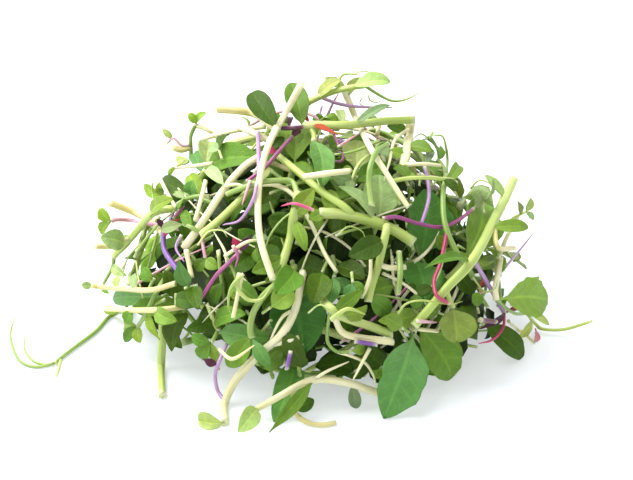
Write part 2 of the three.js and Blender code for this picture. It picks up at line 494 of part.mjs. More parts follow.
// A tapered tube: a straight extrusion of a many-sided section, laid step by step on the path.
function tube(path, reaches, sides) {
  const section = new THREE.Shape();
  for (let k = 0; k < sides; k += 1) {
    const angle = (k / sides) * Math.PI * 2;
    if (k === 0) section.moveTo(Math.cos(angle), Math.sin(angle));
    else section.lineTo(Math.cos(angle), Math.sin(angle));
  }
  const steps = path.length - 1;
  const geometry = new THREE.ExtrudeGeometry(section, { depth: 1, steps, bevelEnabled: false });
  const frames = [];
  let side = null;
  for (let i = 0; i <= steps; i += 1) {
    const tangent = path[Math.min(i + 1, steps)].clone().sub(path[Math.max(i - 1, 0)]).normalize();
    if (!side) side = Math.abs(tangent.z) < UPRIGHT ? new THREE.Vector3(0, 0, 1) : RIGHT.clone();
    side = side.clone().addScaledVector(tangent, -side.dot(tangent)).normalize();
    frames.push([side, tangent.clone().cross(side)]);
  }
  const place = geometry.getAttribute("position");
  for (let n = 0; n < place.count; n += 1) {
    const i = Math.round(place.getZ(n) * steps);
    const point = path[i]
      .clone()
      .addScaledVector(frames[i][0], place.getX(n) * reaches[i])
      .addScaledVector(frames[i][1], place.getY(n) * reaches[i]);
    place.setXYZ(n, point.x, point.y, point.z);
  }
  return solid(geometry);
}

// ---------------------------------------------------------------- leaves
// The blade as rows of points across it, from the base to the tip: the midrib bows up from the
// line between them, and the edges rise from the midrib and ripple.
function bladeGrid(base, tip, face, width, form) {
  const { rows, arch, cup, notch = 0, wave = 0, columns = 3, flat = false } = FORMS[form];
  const along = tip.clone().sub(base);
  const length = along.length();
  along.normalize();
  const across = along.clone().cross(face).normalize();
  return rows.map(([share, half], r) =>
    Array.from({ length: columns }, (_, c) => {
      const v = (c / (columns - 1)) * 2 - 1;
      const reach = share * (1 - notch * (1 - Math.abs(v)) * share ** 3);
      const spread = (half * width) / 2;
      const ripple = wave * (r % 2 === 0 ? 1 : -1) * Math.sign(v);
      const rise = 4 * arch * length * reach * (1 - reach) + spread * v * v * (cup + ripple);
      const point = base
        .clone()
        .addScaledVector(along, reach * length)
        .addScaledVector(across, v * spread)
        .addScaledVector(face, rise);
      point.z = flat ? 0 : Math.max(point.z, RIB / 2 + LEAF_CLEARANCE);
      return point;
    }),
  );
}

// Closes a grid of points into a blade: both faces meet at the edges and stand RIB apart along
// the midrib, and each pair of facing quads is cut along the same diagonal.
function blade(grid, face, form) {
  const rows = grid.length;
  const columns = grid[0].length;
  const corners = [];
  const layers = (FORMS[form].flat ? [RIB, 0] : [RIB / 2, -RIB / 2]).map((rise) =>
    grid.map((row) =>
      row.map((point, c) => {
        const v = (c / (columns - 1)) * 2 - 1;
        corners.push(point.clone().addScaledVector(face, (1 - v * v) * rise));
        return corners.length - 1;
      }),
    ),
  );
  const faces = [];
  const quad = (a, b, c, d) => faces.push([a, b, c], [a, c, d]);
  for (let r = 0; r + 1 < rows; r += 1)
    for (let c = 0; c + 1 < columns; c += 1) {
      const [top, under] = layers;
      quad(top[r][c], top[r][c + 1], top[r + 1][c + 1], top[r + 1][c]);
      faces.push([under[r][c], under[r + 1][c + 1], under[r][c + 1]]);
      faces.push([under[r][c], under[r + 1][c], under[r + 1][c + 1]]);
    }
  for (const r of [0, rows - 1])
    for (let c = 0; c + 1 < columns; c += 1) {
      const [top, under] = layers;
      if (r === 0) quad(top[r][c], under[r][c], under[r][c + 1], top[r][c + 1]);
      else quad(top[r][c], top[r][c + 1], under[r][c + 1], under[r][c]);
    }
  const geometry = new THREE.BufferGeometry();
  const flat = faces.flat().flatMap((n) => corners[n].toArray());
  geometry.setAttribute("position", new THREE.Float32BufferAttribute(flat, 3));
  return solid(geometry);
}

// The poses that a leaf tries in turn: how far its tip is lifted, how far the leaf is turned about
// its midrib, and how much of its size it keeps.
const TRIES = [
  [0, 0, 1], [2, 0, 1], [-2, 0, 1], [4, 0, 1], [0, 0.5, 1], [0, -0.5, 1], [-4, 0, 1], [6, 0, 1],
  [4, 0.5, 1], [4, -0.5, 1], [8, 0, 1], [-7, 0, 1], [2, 0, 0.75], [5, 0, 0.75], [8, 0.4, 0.75],
  [8, -0.4, 0.75], [12, 0, 1], [-5, 0, 0.75], [12, 0, 0.75], [3, 0, 0.55], [8, 0, 0.55], [15, 0, 0.8],
];

function placeLeaf(base, { tip, width, form, turn }, lift, own) {
  for (const [rise, twist, size] of TRIES) {
    const end = tip.at.clone().addScaledVector(tip.way, lift + rise);
    end.sub(base).multiplyScalar(size).add(base);
    const along = end.clone().sub(base).normalize();
    const face = FORMS[form].flat
      ? new THREE.Vector3(0, 0, 1)
      : outwards(base.clone().add(end).multiplyScalar(0.5)).add(tip.way).normalize();
    face.addScaledVector(along, -face.dot(along)).normalize();
    face.applyAxisAngle(along, turn + twist);
    const grid = bladeGrid(base, end, face, width * size, form);
    const marks = marksOver(grid);
    const clear = (mark) => isFree(mark) && isFreeOf(own, base, mark);
    if (marks.every(clear)) return { grid, face, marks };
  }
  return null;
}

// ---------------------------------------------------------------- solids
function solid(geometry) {
  geometry.deleteAttribute("normal");
  geometry.deleteAttribute("uv");
  const merged = mergeVertices(geometry, WELD);
  const index = merged.index.array;
  const kept = [];
  for (let n = 0; n < index.length; n += 3) {
    const [a, b, c] = [index[n], index[n + 1], index[n + 2]];
    if (a !== b && b !== c && c !== a) kept.push(a, b, c);
  }
  return new wasm.Manifold(
    new wasm.Mesh({
      numProp: 3,
      vertProperties: merged.attributes.position.array,
      triVerts: new Uint32Array(kept),
    }),
  );
}

function geometryOf(body) {
  const { numProp, vertProperties, triVerts } = body.getMesh();
  const count = vertProperties.length / numProp;
  const points = new Float32Array(count * 3);
  for (let n = 0; n < count; n += 1)
    points.set(vertProperties.subarray(n * numProp, n * numProp + 3), n * 3);
  const geometry = new THREE.BufferGeometry();
  geometry.setAttribute("position", new THREE.BufferAttribute(points, 3));
  geometry.setIndex(new THREE.BufferAttribute(new Uint32Array(triVerts), 1));
  geometry.computeVertexNormals();
  return geometry;
}

// ---------------------------------------------------------------- a shoot
// Grows a shoot's limbs, each cut free or rooted on an earlier one, with their leaves, and fuses
// them. A limb that finds no room is left out, with what grows on it, and so is such a leaf.
function growShoot(limbs) {
  const grown = [];
  const marks = [];
  let body = null;
  const fuse = (piece) => {
    body = body ? body.add(piece) : piece;
  };
  for (const { root, first, last, spots, leaves } of limbs) {
    const parent = root.length ? grown[root[0]] : null;
    const rooted = root.length > 0;
    if (rooted && !parent) {
      grown.push(null);
      continue;
    }
    if (rooted) spots.unshift({ at: alongPath(parent.path, root[1]), way: spots[0].way });
    const radiusAt = (share) => (first + (last - first) * share) / 2;
    const limb = settle(spots, radiusAt, rooted);
    grown.push(limb);
    if (!limb) continue;
    marks.push(...limb.marks);
    fuse(tube(limb.path, limb.reaches, sidesOf(Math.max(first, last))));
    for (const leaf of leaves) {
      const base = alongPath(limb.path, leaf.share);
      const lift = limb.lifts[Math.floor(leaf.share * (limb.lifts.length - 1) + 0.5)];
      const placed = placeLeaf(base, leaf, lift, marks);
      if (!placed) continue;
      marks.push(...placed.marks);
      fuse(blade(placed.grid, placed.face, leaf.form));
    }
  }
  take(marks);
  return body;
}

// The limbs of a shoot from the table above, sunk into the mound.
function seenLimbs(rows, sink) {
  return rows.map(([root, tone, first, last, points, leaves]) => ({
    root,
    tone,
    first,
    last,
    spots: points.map(([u, w, out = 0]) => seat(u, w, out - sink)),
    leaves: leaves.map(([share, u, w, width, form, colour, turn = 0, out = 0]) => ({
      share,
      tip: seat(u, w, out - sink),
      width,
      form,
      tone: colour,
      turn,
    })),
  }));
}

// ---------------------------------------------------------------- the shoot under the heap
// It lies flat on the table, with its leaves pressed, and the heap rests on it.
const TABLE_STEMS = [
  [[], 2.6, 2.4, [[-50, -16], [-26, -4], [0, 2], [26, -2], [50, -14]]],
  [[0, 0.25], 2.4, 2, [[-24, 14], [-26, 32]]],
  [[0, 0.75], 2.4, 2, [[22, 14], [30, 34]]],
];
const TABLE_LEAVES = [
  [[0.12, -46, -34, 13], [0.5, -6, -18, 15], [0.88, 42, -34, 13]],
  [[1, -14, 46, 12]],
  [[1, 20, 50, 12]],
];

function tableLimbs() {
  const up = new THREE.Vector3(0, 0, 1);
  const spot = ([x, y]) => ({ at: new THREE.Vector3(x, y, 0), way: up });
  return TABLE_STEMS.map(([root, first, last, points], k) => ({
    root,
    tone: "green",
    first,
    last,
    spots: points.map(spot),
    leaves: TABLE_LEAVES[k].map(([share, x, y, width]) => ({
      share,
      tip: spot([x, y]),
      width,
      form: "pressed",
      tone: "dark",
      turn: 0,
    })),
  }));
}

// ---------------------------------------------------------------- shoots placed by rule
// Sprays that cover the sides and back of the mound and fill it: a stem along a shell of the
// mound, two side stems and leaves, in directions drawn at random from a fixed seed.
const SEED = 4920;
const SPRAYS = [
  { name: "back_spray", shell: 0.94, climb: 9, from: 14, to: 166, count: 4, tones: ["mid", "bright"] },
  { name: "rear_spray", shell: 0.94, climb: 34, from: 25, to: 155, count: 3, tones: ["bright", "pale"] },
  { name: "crown_spray", shell: 0.9, climb: 60, from: 55, to: 125, count: 2, tones: ["mid", "bud"] },
  { name: "inner_spray", shell: 0.62, climb: 24, from: 60, to: 300, count: 3, tones: ["dark", "mid"] },
];
const SPRAY_STEM = 62;
const SPRAY_SIDE = 26;
const SPRAY_LEAF = 15;
const SPRAY_THICKNESS = [1.8, 3];
const SPRAY_LEAF_LENGTH = [0.75, 1.15];
const SPRAY_LEAF_WIDTH = [0.45, 0.65];
const SPRAY_OVALS = 0.75;
const TAPER = 0.75;
const SIDE_TAPER = 0.6;
const LOWEST_CLIMB = 0.02;
const HIGHEST_CLIMB = 1.5;
const SMALLEST_RING = 0.25;
const STEM_TONES = ["cream", "lime", "green", "mauve"];

let state = SEED;
function draw(low, high) {
  state = (state * 16807) % 2147483647;
  return low + ((high - low) * state) / 2147483647;
}

// The spot on a shell at a bearing round the mound and a climb from the table to its top.
function onShell(shell, bearing, climb) {
  const up = Math.min(Math.max(climb, LOWEST_CLIMB), HIGHEST_CLIMB);
  const at = new THREE.Vector3(
    Math.cos(up) * Math.cos(bearing),
    Math.cos(up) * Math.sin(bearing),
    Math.sin(up),
  )
    .multiply(MOUND)
    .multiplyScalar(shell);
  return { at, way: outwards(at), bearing, climb: up };
}

// The spot reached from another by going a length over the shell at a heading.
function stepOver(shell, from, heading, length) {
  const radius = shell * HALF_WIDTH;
  const ring = radius * Math.max(Math.cos(from.climb), SMALLEST_RING);
  const turn = (length * Math.cos(heading)) / ring;
  return onShell(shell, from.bearing + turn, from.climb + (length * Math.sin(heading)) / radius);
}

function sprayLimbs({ shell, tones }, bearing, climb) {
  const heading = draw(-0.5, 0.5) + (draw(0, 1) < 0.5 ? 0 : Math.PI);
  const middle = onShell(shell, bearing, climb);
  const stemTone = STEM_TONES[Math.floor(draw(0, STEM_TONES.length))];
  const thick = draw(...SPRAY_THICKNESS);
  const leafFrom = (spot, share, way, k) => ({
    share,
    tip: stepOver(
      shell + draw(0, 0.06),
      spot,
      way + draw(-0.4, 0.4),
      SPRAY_LEAF * draw(...SPRAY_LEAF_LENGTH),
    ),
    width: SPRAY_LEAF * draw(...SPRAY_LEAF_WIDTH),
    form: draw(0, 1) < SPRAY_OVALS ? "oval" : "small",
    tone: tones[k % tones.length],
    turn: draw(-0.4, 0.4),
  });
  const spots = [-0.5, -0.17, 0.17, 0.5].map((share) =>
    stepOver(shell, middle, heading + draw(-0.15, 0.15), SPRAY_STEM * share),
  );
  const main = { root: [], tone: stemTone, first: thick, last: thick * TAPER, spots };
  main.leaves = [
    leafFrom(spots[3], 1, heading + 0.6, 0),
    leafFrom(spots[1], 0.4, heading + 1.8, 1),
  ];
  const sides = [0.3, 0.7].map((share, k) => {
    const way = heading + (k === 0 ? -1 : 1) * draw(0.9, 1.5);
    const start = spots[k + 1];
    const points = [0.5, 1].map((part) => stepOver(shell, start, way, SPRAY_SIDE * part));
    return {
      root: [0, share],
      tone: stemTone,
      first: thick * TAPER,
      last: thick * SIDE_TAPER,
      spots: points,
      leaves: [leafFrom(points[1], 1, way + 0.5, k), leafFrom(points[1], 1, way - 0.6, k + 1)],
    };
  });
  return [main, ...sides];
}

// ---------------------------------------------------------------- the heap
const heap = new THREE.Group();

function addShoot(name, limbs) {
  const body = growShoot(limbs);
  const leaves = limbs.flatMap((limb) => limb.leaves);
  const leafTone = leaves.find((leaf) => leaf.width > MAIN_LEAF)?.tone;
  const material = new THREE.MeshStandardMaterial({
    color: TONES[leafTone ?? limbs[0].tone],
    roughness: ROUGHNESS,
    metalness: 0,
  });
  const mesh = new THREE.Mesh(geometryOf(body), material);
  mesh.name = name;
  heap.add(mesh);
}

addShoot("table_shoot", tableLimbs());
SHOOTS.forEach(([name, rows], k) => {
  addShoot(name, seenLimbs(rows, SKIN * (1 - k / (SHOOTS.length - 1))));
});
for (const kind of SPRAYS)
  for (let k = 0; k < kind.count; k += 1) {
    const share = kind.count === 1 ? 0 : k / (kind.count - 1);
    const bearing = THREE.MathUtils.degToRad(kind.from + (kind.to - kind.from) * share);
    const limbs = sprayLimbs(kind, bearing, THREE.MathUtils.degToRad(kind.climb));
    addShoot(`${kind.name}_${String(k + 1).padStart(2, "0")}`, limbs);
  }

export default heap;
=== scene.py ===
"""A loose heap of cut mixed microgreens on a white table, dressed for rendering.

The heap is laid out by the same rules as its solids: shoots lie on a mound, lowest first, and each
one bends over what lies under it. Every shoot is then built as fine stems and veined leaves in its
solid's place, and small sprigs fill the mound between them. Lengths are millimetres until a mesh
is made, and +Z is up.
"""

import json
import logging
import math
from dataclasses import dataclass, field
from enum import Enum
from typing import Iterable, Optional, Sequence, Union

import bpy
import numpy as np
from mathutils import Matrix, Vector

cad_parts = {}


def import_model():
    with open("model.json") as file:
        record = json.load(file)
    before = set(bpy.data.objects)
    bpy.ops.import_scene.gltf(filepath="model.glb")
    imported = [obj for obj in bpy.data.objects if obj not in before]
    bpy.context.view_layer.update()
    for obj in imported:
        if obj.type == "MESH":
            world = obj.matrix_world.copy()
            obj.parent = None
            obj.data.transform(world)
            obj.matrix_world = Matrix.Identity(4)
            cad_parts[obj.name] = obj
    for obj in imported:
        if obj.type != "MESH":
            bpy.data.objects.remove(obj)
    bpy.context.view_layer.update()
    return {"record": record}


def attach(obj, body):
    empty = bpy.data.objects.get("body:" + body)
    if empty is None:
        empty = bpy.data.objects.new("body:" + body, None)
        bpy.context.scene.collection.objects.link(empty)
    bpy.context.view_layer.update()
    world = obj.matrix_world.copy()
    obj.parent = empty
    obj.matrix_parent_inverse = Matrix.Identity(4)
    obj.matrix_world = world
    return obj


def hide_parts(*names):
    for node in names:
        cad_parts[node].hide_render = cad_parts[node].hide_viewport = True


LOG = logging.getLogger("microgreens")
MM = 0.001
BODY = "root"
Socket = Union[bpy.types.NodeSocket, float, tuple]


# ---- colours
class Tone(Enum):
    """The heap's colours, each as a colour and the one that it fades to at a cut end. All are the
    shoots' own colours except the near-black green, which is painted shade.
    """

    CREAM = ("#e2dca8", "#f0e9cb")
    STRAW = ("#d4ca88", "#e2d8a2")
    LIME = ("#a4ba56", "#c8d68c")
    GREEN = ("#7a9e46", "#a4b868")
    ROSE = ("#cc8aa2", "#dcbcc4")
    MAGENTA = ("#98347c", "#b06a9c")
    MAUVE = ("#a678b4", "#c6aad2")
    VIOLET = ("#6a3494", "#7e52a4")
    BRIGHT = ("#90b244", "#aac66e")
    MID = ("#6c9630", "#90b056")
    DARK = ("#4c6e13", "#688e32")
    # A near-black green, darker than the leaves' own colour: painted shade for the leaves deep in
    # the heap.
    DEEP = ("#283f08", "#385412")
    BLUE = ("#6fa555", "#9cc484")
    TEAL = ("#568c38", "#74a45c")
    PALE = ("#b0c684", "#c2d09a")
    BUD = ("#b4c67e", "#c8d69a")
    ASH = ("#8fa46e", "#aaba8e")
    WINE = ("#5c2f49", "#86506c")
    RUST = ("#b9502c", "#d07f58")
    HOT = ("#b82a62", "#d0608c")

    @property
    def own(self) -> np.ndarray:
        """The colour itself, in linear light."""
        return linear(self.value[0])

    @property
    def faded(self) -> np.ndarray:
        """The colour at a cut end or on a leaf's underside, in linear light."""
        return linear(self.value[1])


def linear(code: str) -> np.ndarray:
    """The red, green and blue of a #rrggbb code in linear light, by the usual sRGB curve."""
    c = np.array([int(code[i : i + 2], 16) for i in (1, 3, 5)]) / 255
    return np.where(c < 0.04045, c / 12.92, ((c + 0.055) / 1.055) ** 2.4)


# ---- leaf forms
class Margin(Enum):
    """How a leaf's edge runs."""

    SMOOTH = 0
    RIPPLED = 1
    TOOTHED = 2


@dataclass(frozen=True)
class Form:
    """A leaf's form. rows and columns shape only its solid, and stalk and on only the fine leaf.

    rows hold how far along the leaf, and half its width there as a share of its widest half.
    The fine leaf's half width is sin(pi * x ** early) ** full beyond its stalk, which ends at
    the share stalk of its length; x runs from 0 to 1 there.
    """

    rows: tuple
    arch: float
    cup: float
    notch: float = 0.0
    wave: float = 0.0
    columns: int = 3
    flat: bool = False
    stalk: float = 0.06
    early: float = 0.9
    full: float = 0.62
    point: float = 0.0
    veins: float = 6.0
    thickness: float = 0.4
    margin: Margin = Margin.SMOOTH

    @property
    def lobed(self) -> bool:
        """Whether the tip is cut back far enough to make two lobes."""
        return self.notch > 0.1


PLAIN_ROWS = ((0, 0.16), (0.3, 0.86), (0.7, 0.86), (1, 0))
FORMS = {
    "oval": Form(PLAIN_ROWS, 0.12, 0.3, early=0.92, full=0.58, point=0.02),
    "small": Form(((0, 0.25), (0.5, 1), (1, 0)), 0.1, 0.25, early=0.95, full=0.6, veins=4),
    "lance": Form(((0, 0.35), (0.5, 1), (1, 0)), 0.14, 0.35, early=0.85, full=1.05, point=0.06),
    "heart": Form(
        ((0, 0.16), (0.45, 0.8), (0.85, 1), (1, 0.62)),
        0.12, 0.3, notch=0.3, stalk=0.16, early=1.7, full=0.6, veins=3, thickness=0.6,
    ),
    "round": Form(
        ((0, 0.14), (0.26, 0.82), (0.7, 0.95), (1, 0.34)),
        0.14, 0.4, notch=0.04, stalk=0.1, early=1.12, full=0.5, veins=4, thickness=0.5,
    ),
    "broad": Form(
        ((0, 0.09), (0.1, 0.12), (0.3, 0.88), (0.6, 0.97), (0.88, 0.5), (1, 0)),
        0.13, 0.32, wave=0.12, columns=5, stalk=0.12, early=0.86, full=0.6,
        point=0.03, veins=7, margin=Margin.RIPPLED,
    ),
    "toothed": Form(
        (
            (0, 0.09), (0.12, 0.14), (0.24, 0.78), (0.3, 0.62), (0.46, 1), (0.52, 0.8),
            (0.68, 0.86), (0.74, 0.62), (0.86, 0.5), (1, 0),
        ),
        0.1, 0.25, wave=0.1, stalk=0.13, early=0.86, full=0.66, veins=6,
        margin=Margin.TOOTHED,
    ),
    "pressed": Form(PLAIN_ROWS, 0.0, 0.0, flat=True),
}


# ---- the mound
@dataclass(frozen=True)
class Spot:
    """A point of the heap, and the way along which what lies there is lifted."""

    at: np.ndarray
    way: np.ndarray
    bearing: float = 0.0
    climb: float = 0.0


@dataclass(frozen=True)
class Mound:
    """The half ellipsoid over which the shoots lie, seen by someone who looks down on it."""

    half_width: float = 76.0
    half_depth: float = 64.0
    height: float = 80.0
    look_down: float = math.radians(28)
    eye: float = 600.0
    aim: float = 36.0
    lowest_climb: float = 0.02
    highest_climb: float = 1.5
    smallest_ring: float = 0.25

    @property
    def axes(self) -> np.ndarray:
        """The mound's three half axes."""
        return np.array([self.half_width, self.half_depth, self.height])

    @property
    def up(self) -> np.ndarray:
        """The way that looks upright to the person in front."""
        return np.array([0, math.sin(self.look_down), math.cos(self.look_down)])

    @property
    def towards(self) -> np.ndarray:
        """The way from the heap to the person in front."""
        return np.array([0, -math.cos(self.look_down), math.sin(self.look_down)])

    def seat(self, u: float, w: float, out: float) -> Spot:
        """The near side of the mound, or the table before it, where it is seen at u, w.

        The line of sight start + t * way meets the ellipsoid at the larger root t of a quadratic
        in its scaled coordinates, and the table where its height is nought. The spot is never
        below the table.

        Args:
            u: How far right the point is seen.
            w: How far up it is seen.
            out: How far out of the mound it stands, along the line of sight.

        Returns:
            The spot.
        """
        across = np.array([u, 0, 0]) + self.up * w
        way = self.towards - across / self.eye
        start = across + [0, 0, self.aim]
        a, b = start / self.axes, way / self.axes
        room = (a @ b) ** 2 - (b @ b) * (a @ a - 1)
        on_mound = (-(a @ b) + math.sqrt(max(room, 0))) / (b @ b)
        on_table = -start[2] / way[2]
        return Spot(start + way * max(max(on_mound, on_table) + out, on_table), way)

    def outwards(self, point: np.ndarray) -> np.ndarray:
        """The mound's own outward way through a point: the point over its squared half axes."""
        return unit(point / self.axes**2)

    def within(self, spot: Spot, size: float) -> Spot:
        """A spot, drawn straight in to a shell of so much of the mound's size if outside it."""
        over = max(np.linalg.norm(spot.at / self.axes) / size, 1)
        return Spot(spot.at / over, spot.way)

    def on_shell(self, shell: float, bearing: float, climb: float) -> Spot:
        """The spot on a shell of a share of the mound's size, so far round it and up from level."""
        up = min(max(climb, self.lowest_climb), self.highest_climb)
        ring = math.cos(up)
        at = np.array([ring * math.cos(bearing), ring * math.sin(bearing), math.sin(up)])
        at = at * self.axes * shell
        return Spot(at, self.outwards(at), bearing, up)

    def step_over(self, shell: float, start: Spot, heading: float, length: float) -> Spot:
        """The spot a length away from another over a shell, heading so far up from level."""
        radius = shell * self.half_width
        ring = radius * max(math.cos(start.climb), self.smallest_ring)
        round_it = length * math.cos(heading) / ring
        climb = start.climb + length * math.sin(heading) / radius
        return self.on_shell(shell, start.bearing + round_it, climb)


MOUND = Mound()


def unit(vectors: np.ndarray) -> np.ndarray:
    """Vectors over their own lengths, along the last axis."""
    size = np.linalg.norm(vectors, axis=-1, keepdims=True)
    return vectors / np.maximum(size, 1e-12)


def nearest(value: float) -> int:
    """The whole number nearest to a value, with halves rounded up."""
    return math.floor(value + 0.5)


# ---- room
GAP = 0.35
STEP = 2.0
ROOT_ROOM = 4.5
LEAF_REACH = 0.75
MOST_REACH = 2.5


@dataclass
class Marks:
    """Points all over a shoot with how far it reaches round each, to test for room."""

    at: np.ndarray
    reach: np.ndarray

    @classmethod
    def none(cls) -> "Marks":
        """No marks yet."""
        return cls(np.empty((0, 3)), np.empty(0))

    def with_more(self, other: "Marks") -> "Marks":
        """These marks and another's."""
        return Marks(np.vstack([self.at, other.at]), np.concatenate([self.reach, other.reach]))

    def meets(self, other: "Marks", gap: float) -> np.ndarray:
        """Which of these marks come closer to another's than both reaches and a gap."""
        margin = self.reach.max() + MOST_REACH + gap
        low, high = self.at.min(0) - margin, self.at.max(0) + margin
        near = ((other.at > low) & (other.at < high)).all(1)
        if not near.any():
            return np.zeros(len(self.at), bool)
        apart = np.linalg.norm(self.at[:, None] - other.at[near][None], axis=2)
        return (apart < self.reach[:, None] + other.reach[near][None] + gap).any(1)


class Room:
    """What is taken by the shoots that already lie in the heap."""

    def __init__(self, gap: float) -> None:
        """Starts with an empty mound, and the room that is left between two shoots."""
        self.gap = gap
        self.taken = Marks.none()

    def blocked(self, marks: Marks) -> np.ndarray:
        """Which marks are too close to a shoot that already lies there."""
        return marks.meets(self.taken, self.gap)

    def take(self, marks: Marks) -> None:
        """Takes the room of a shoot."""
        self.taken = self.taken.with_more(marks)


def curve_through(points: np.ndarray, shares: np.ndarray) -> np.ndarray:
    """A uniform Catmull-Rom curve through points, at shares of its way.

    Each piece is the cubic whose end slopes are half the chord between the neighbours of its
    ends; the first and last neighbours are the end points mirrored through the ends.

    Args:
        points: The points, one a row.
        shares: Shares of the way, from 0 to 1.

    Returns:
        The curve's points, one a row.
    """
    last = len(points) - 1
    ends = np.vstack([2 * points[0] - points[1], points, 2 * points[-1] - points[-2]])
    place = np.clip(shares, 0, 1) * last
    piece = np.minimum(np.floor(place).astype(int), last - 1)
    t = (place - piece)[:, None]
    a, b, c, d = (ends[piece + k] for k in range(4))
    start, stop = (c - a) / 2, (d - b) / 2
    return (
        b + start * t + (-3 * b + 3 * c - 2 * start - stop) * t**2
        + (2 * b - 2 * c + start + stop) * t**3
    )


def marks_along(path: np.ndarray, reaches: np.ndarray) -> tuple[Marks, np.ndarray]:
    """Marks along a path's straight pieces, closer together than STEP.

    Args:
        path: The path's points, one a row.
        reaches: The stem's radius at each.

    Returns:
        The marks, and the place of each along the path, counted in pieces.
    """
    sizes = np.linalg.norm(np.diff(path, axis=0), axis=1)
    counts = np.ceil(sizes / STEP).astype(int)
    piece = np.repeat(np.arange(len(counts)), counts)
    first = np.repeat(np.cumsum(counts) - counts, counts)
    share = (np.arange(len(piece)) - first) / counts[piece]
    at = path[piece] + (path[piece + 1] - path[piece]) * share[:, None]
    reach = reaches[piece] + (reaches[piece + 1] - reaches[piece]) * share
    marks = Marks(np.vstack([at, path[-1:]]), np.append(reach, reaches[-1]))
    return marks, np.append(piece + share, len(path) - 1)


def marks_over(grid: np.ndarray) -> Marks:
    """Marks all over a leaf's grid of points, closer together than STEP."""
    found = []
    for r in range(len(grid) - 1):
        for c in range(grid.shape[1] - 1):
            a, b, d, e = grid[r, c], grid[r, c + 1], grid[r + 1, c], grid[r + 1, c + 1]
            down = max(np.linalg.norm(a - d), np.linalg.norm(b - e))
            over = max(np.linalg.norm(a - b), np.linalg.norm(d - e))
            i = np.linspace(0, 1, (math.ceil(down / STEP) or 1) + 1)[:, None, None]
            j = np.linspace(0, 1, (math.ceil(over / STEP) or 1) + 1)[None, :, None]
            near, far = a + (b - a) * j, d + (e - d) * j
            found.append((near + (far - near) * i).reshape(-1, 3))
    at = np.vstack(found)
    return Marks(at, np.full(len(at), LEAF_REACH))


# ---- growing a shoot
SEGMENT = 13.0
LIFT = 1.0
MOST_LIFTS = 60
HIGHEST_MAIN = 30.0
HIGHEST_SIDE = 12.0
RIB = 1.3
LEAF_CLEARANCE = 0.05
# How far a leaf's tip is lifted, how far it is turned about its midrib, and the size it keeps.
TRIES = (
    (0, 0, 1), (2, 0, 1), (-2, 0, 1), (4, 0, 1), (0, 0.5, 1), (0, -0.5, 1), (-4, 0, 1), (6, 0, 1),
    (4, 0.5, 1), (4, -0.5, 1), (8, 0, 1), (-7, 0, 1), (2, 0, 0.75), (5, 0, 0.75),
    (8, 0.4, 0.75), (8, -0.4, 0.75), (12, 0, 1), (-5, 0, 0.75), (12, 0, 0.75), (3, 0, 0.55),
    (8, 0, 0.55), (15, 0, 0.8),
)


@dataclass
class LeafPlan:
    """A leaf before it has its place: where it grows, its tip, and what it is."""

    share: float
    tip: Spot
    width: float
    form: str
    tone: Tone
    turn: float


@dataclass
class LimbPlan:
    """A limb before it has its place. root is [] for a cut end, or [limb, share along it]."""

    root: Sequence
    tone: Tone
    first: float
    last: float
    spots: list[Spot]
    leaves: list[LeafPlan]


@dataclass
class PlacedLeaf:
    """A leaf in its place."""

    base: np.ndarray
    tip: np.ndarray
    face: np.ndarray
    width: float
    form: str
    tone: Tone

    @property
    def axes(self) -> tuple:
        """Its length, and the ways along and across it."""
        chord = self.tip - self.base
        return np.linalg.norm(chord), unit(chord), unit(np.cross(unit(chord), self.face))


@dataclass
class PlacedLimb:
    """A limb in its place: the points that it runs through, and its thickness at both ends."""

    points: np.ndarray
    path: np.ndarray
    lifts: np.ndarray
    first: float
    last: float
    tone: Tone
    rooted: bool
    leaves: list[PlacedLeaf] = field(default_factory=list)


def path_through(spots: list[Spot], lifts: np.ndarray, radius: float) -> tuple:
    """A limb's spots, each lifted along its own way, and its path through them over the table."""
    points = np.array([spot.at + spot.way * lift for spot, lift in zip(spots, lifts)])
    points[:, 2] = np.maximum(points[:, 2], radius)
    length = np.linalg.norm(np.diff(points, axis=0), axis=1).sum()
    steps = max(len(points) - 1, math.ceil(length / SEGMENT))
    path = curve_through(points, np.arange(steps + 1) / steps)
    path[:, 2] = np.maximum(path[:, 2], radius)
    return points, path


def along_path(path: np.ndarray, share: float) -> np.ndarray:
    """The point at a share of a path's pieces, in a straight line within a piece."""
    place = share * (len(path) - 1)
    i = min(math.floor(place), len(path) - 2)
    return path[i] + (path[i + 1] - path[i]) * (place - i)


def solid_blade(leaf: PlacedLeaf) -> np.ndarray:
    """The points of a leaf's solid: its midrib bows up, and its edges rise and ripple.

    The rise is 4 * arch * length * s * (1 - s) + spread * v * v * (cup + ripple), where s goes
    along the leaf, v across it from -1 to 1, and spread is the half width.

    Args:
        leaf: The leaf.

    Returns:
        The points, by row along the leaf and column across it.
    """
    form = FORMS[leaf.form]
    length, along, across = leaf.axes
    rows = np.array(form.rows)
    s, half = rows[:, :1], rows[:, 1:]
    v = np.linspace(-1, 1, form.columns)[None]
    reach = s * (1 - form.notch * (1 - abs(v)) * s**3)
    spread = half * leaf.width / 2
    ripple = form.wave * np.where(np.arange(len(rows)) % 2 == 0, 1, -1)[:, None] * np.sign(v)
    rise = 4 * form.arch * length * reach * (1 - reach) + spread * v * v * (form.cup + ripple)
    grid = (
        leaf.base + along * (reach * length)[..., None]
        + across * (v * spread)[..., None] + leaf.face * rise[..., None]
    )
    lowest = RIB / 2 + LEAF_CLEARANCE
    grid[..., 2] = 0 if form.flat else np.maximum(grid[..., 2], lowest)
    return grid


def turned(vector: np.ndarray, axis: np.ndarray, angle: float) -> np.ndarray:
    """A vector turned about a unit axis, by Rodrigues' formula."""
    c, s = math.cos(angle), math.sin(angle)
    return vector * c + np.cross(axis, vector) * s + axis * (axis @ vector) * (1 - c)


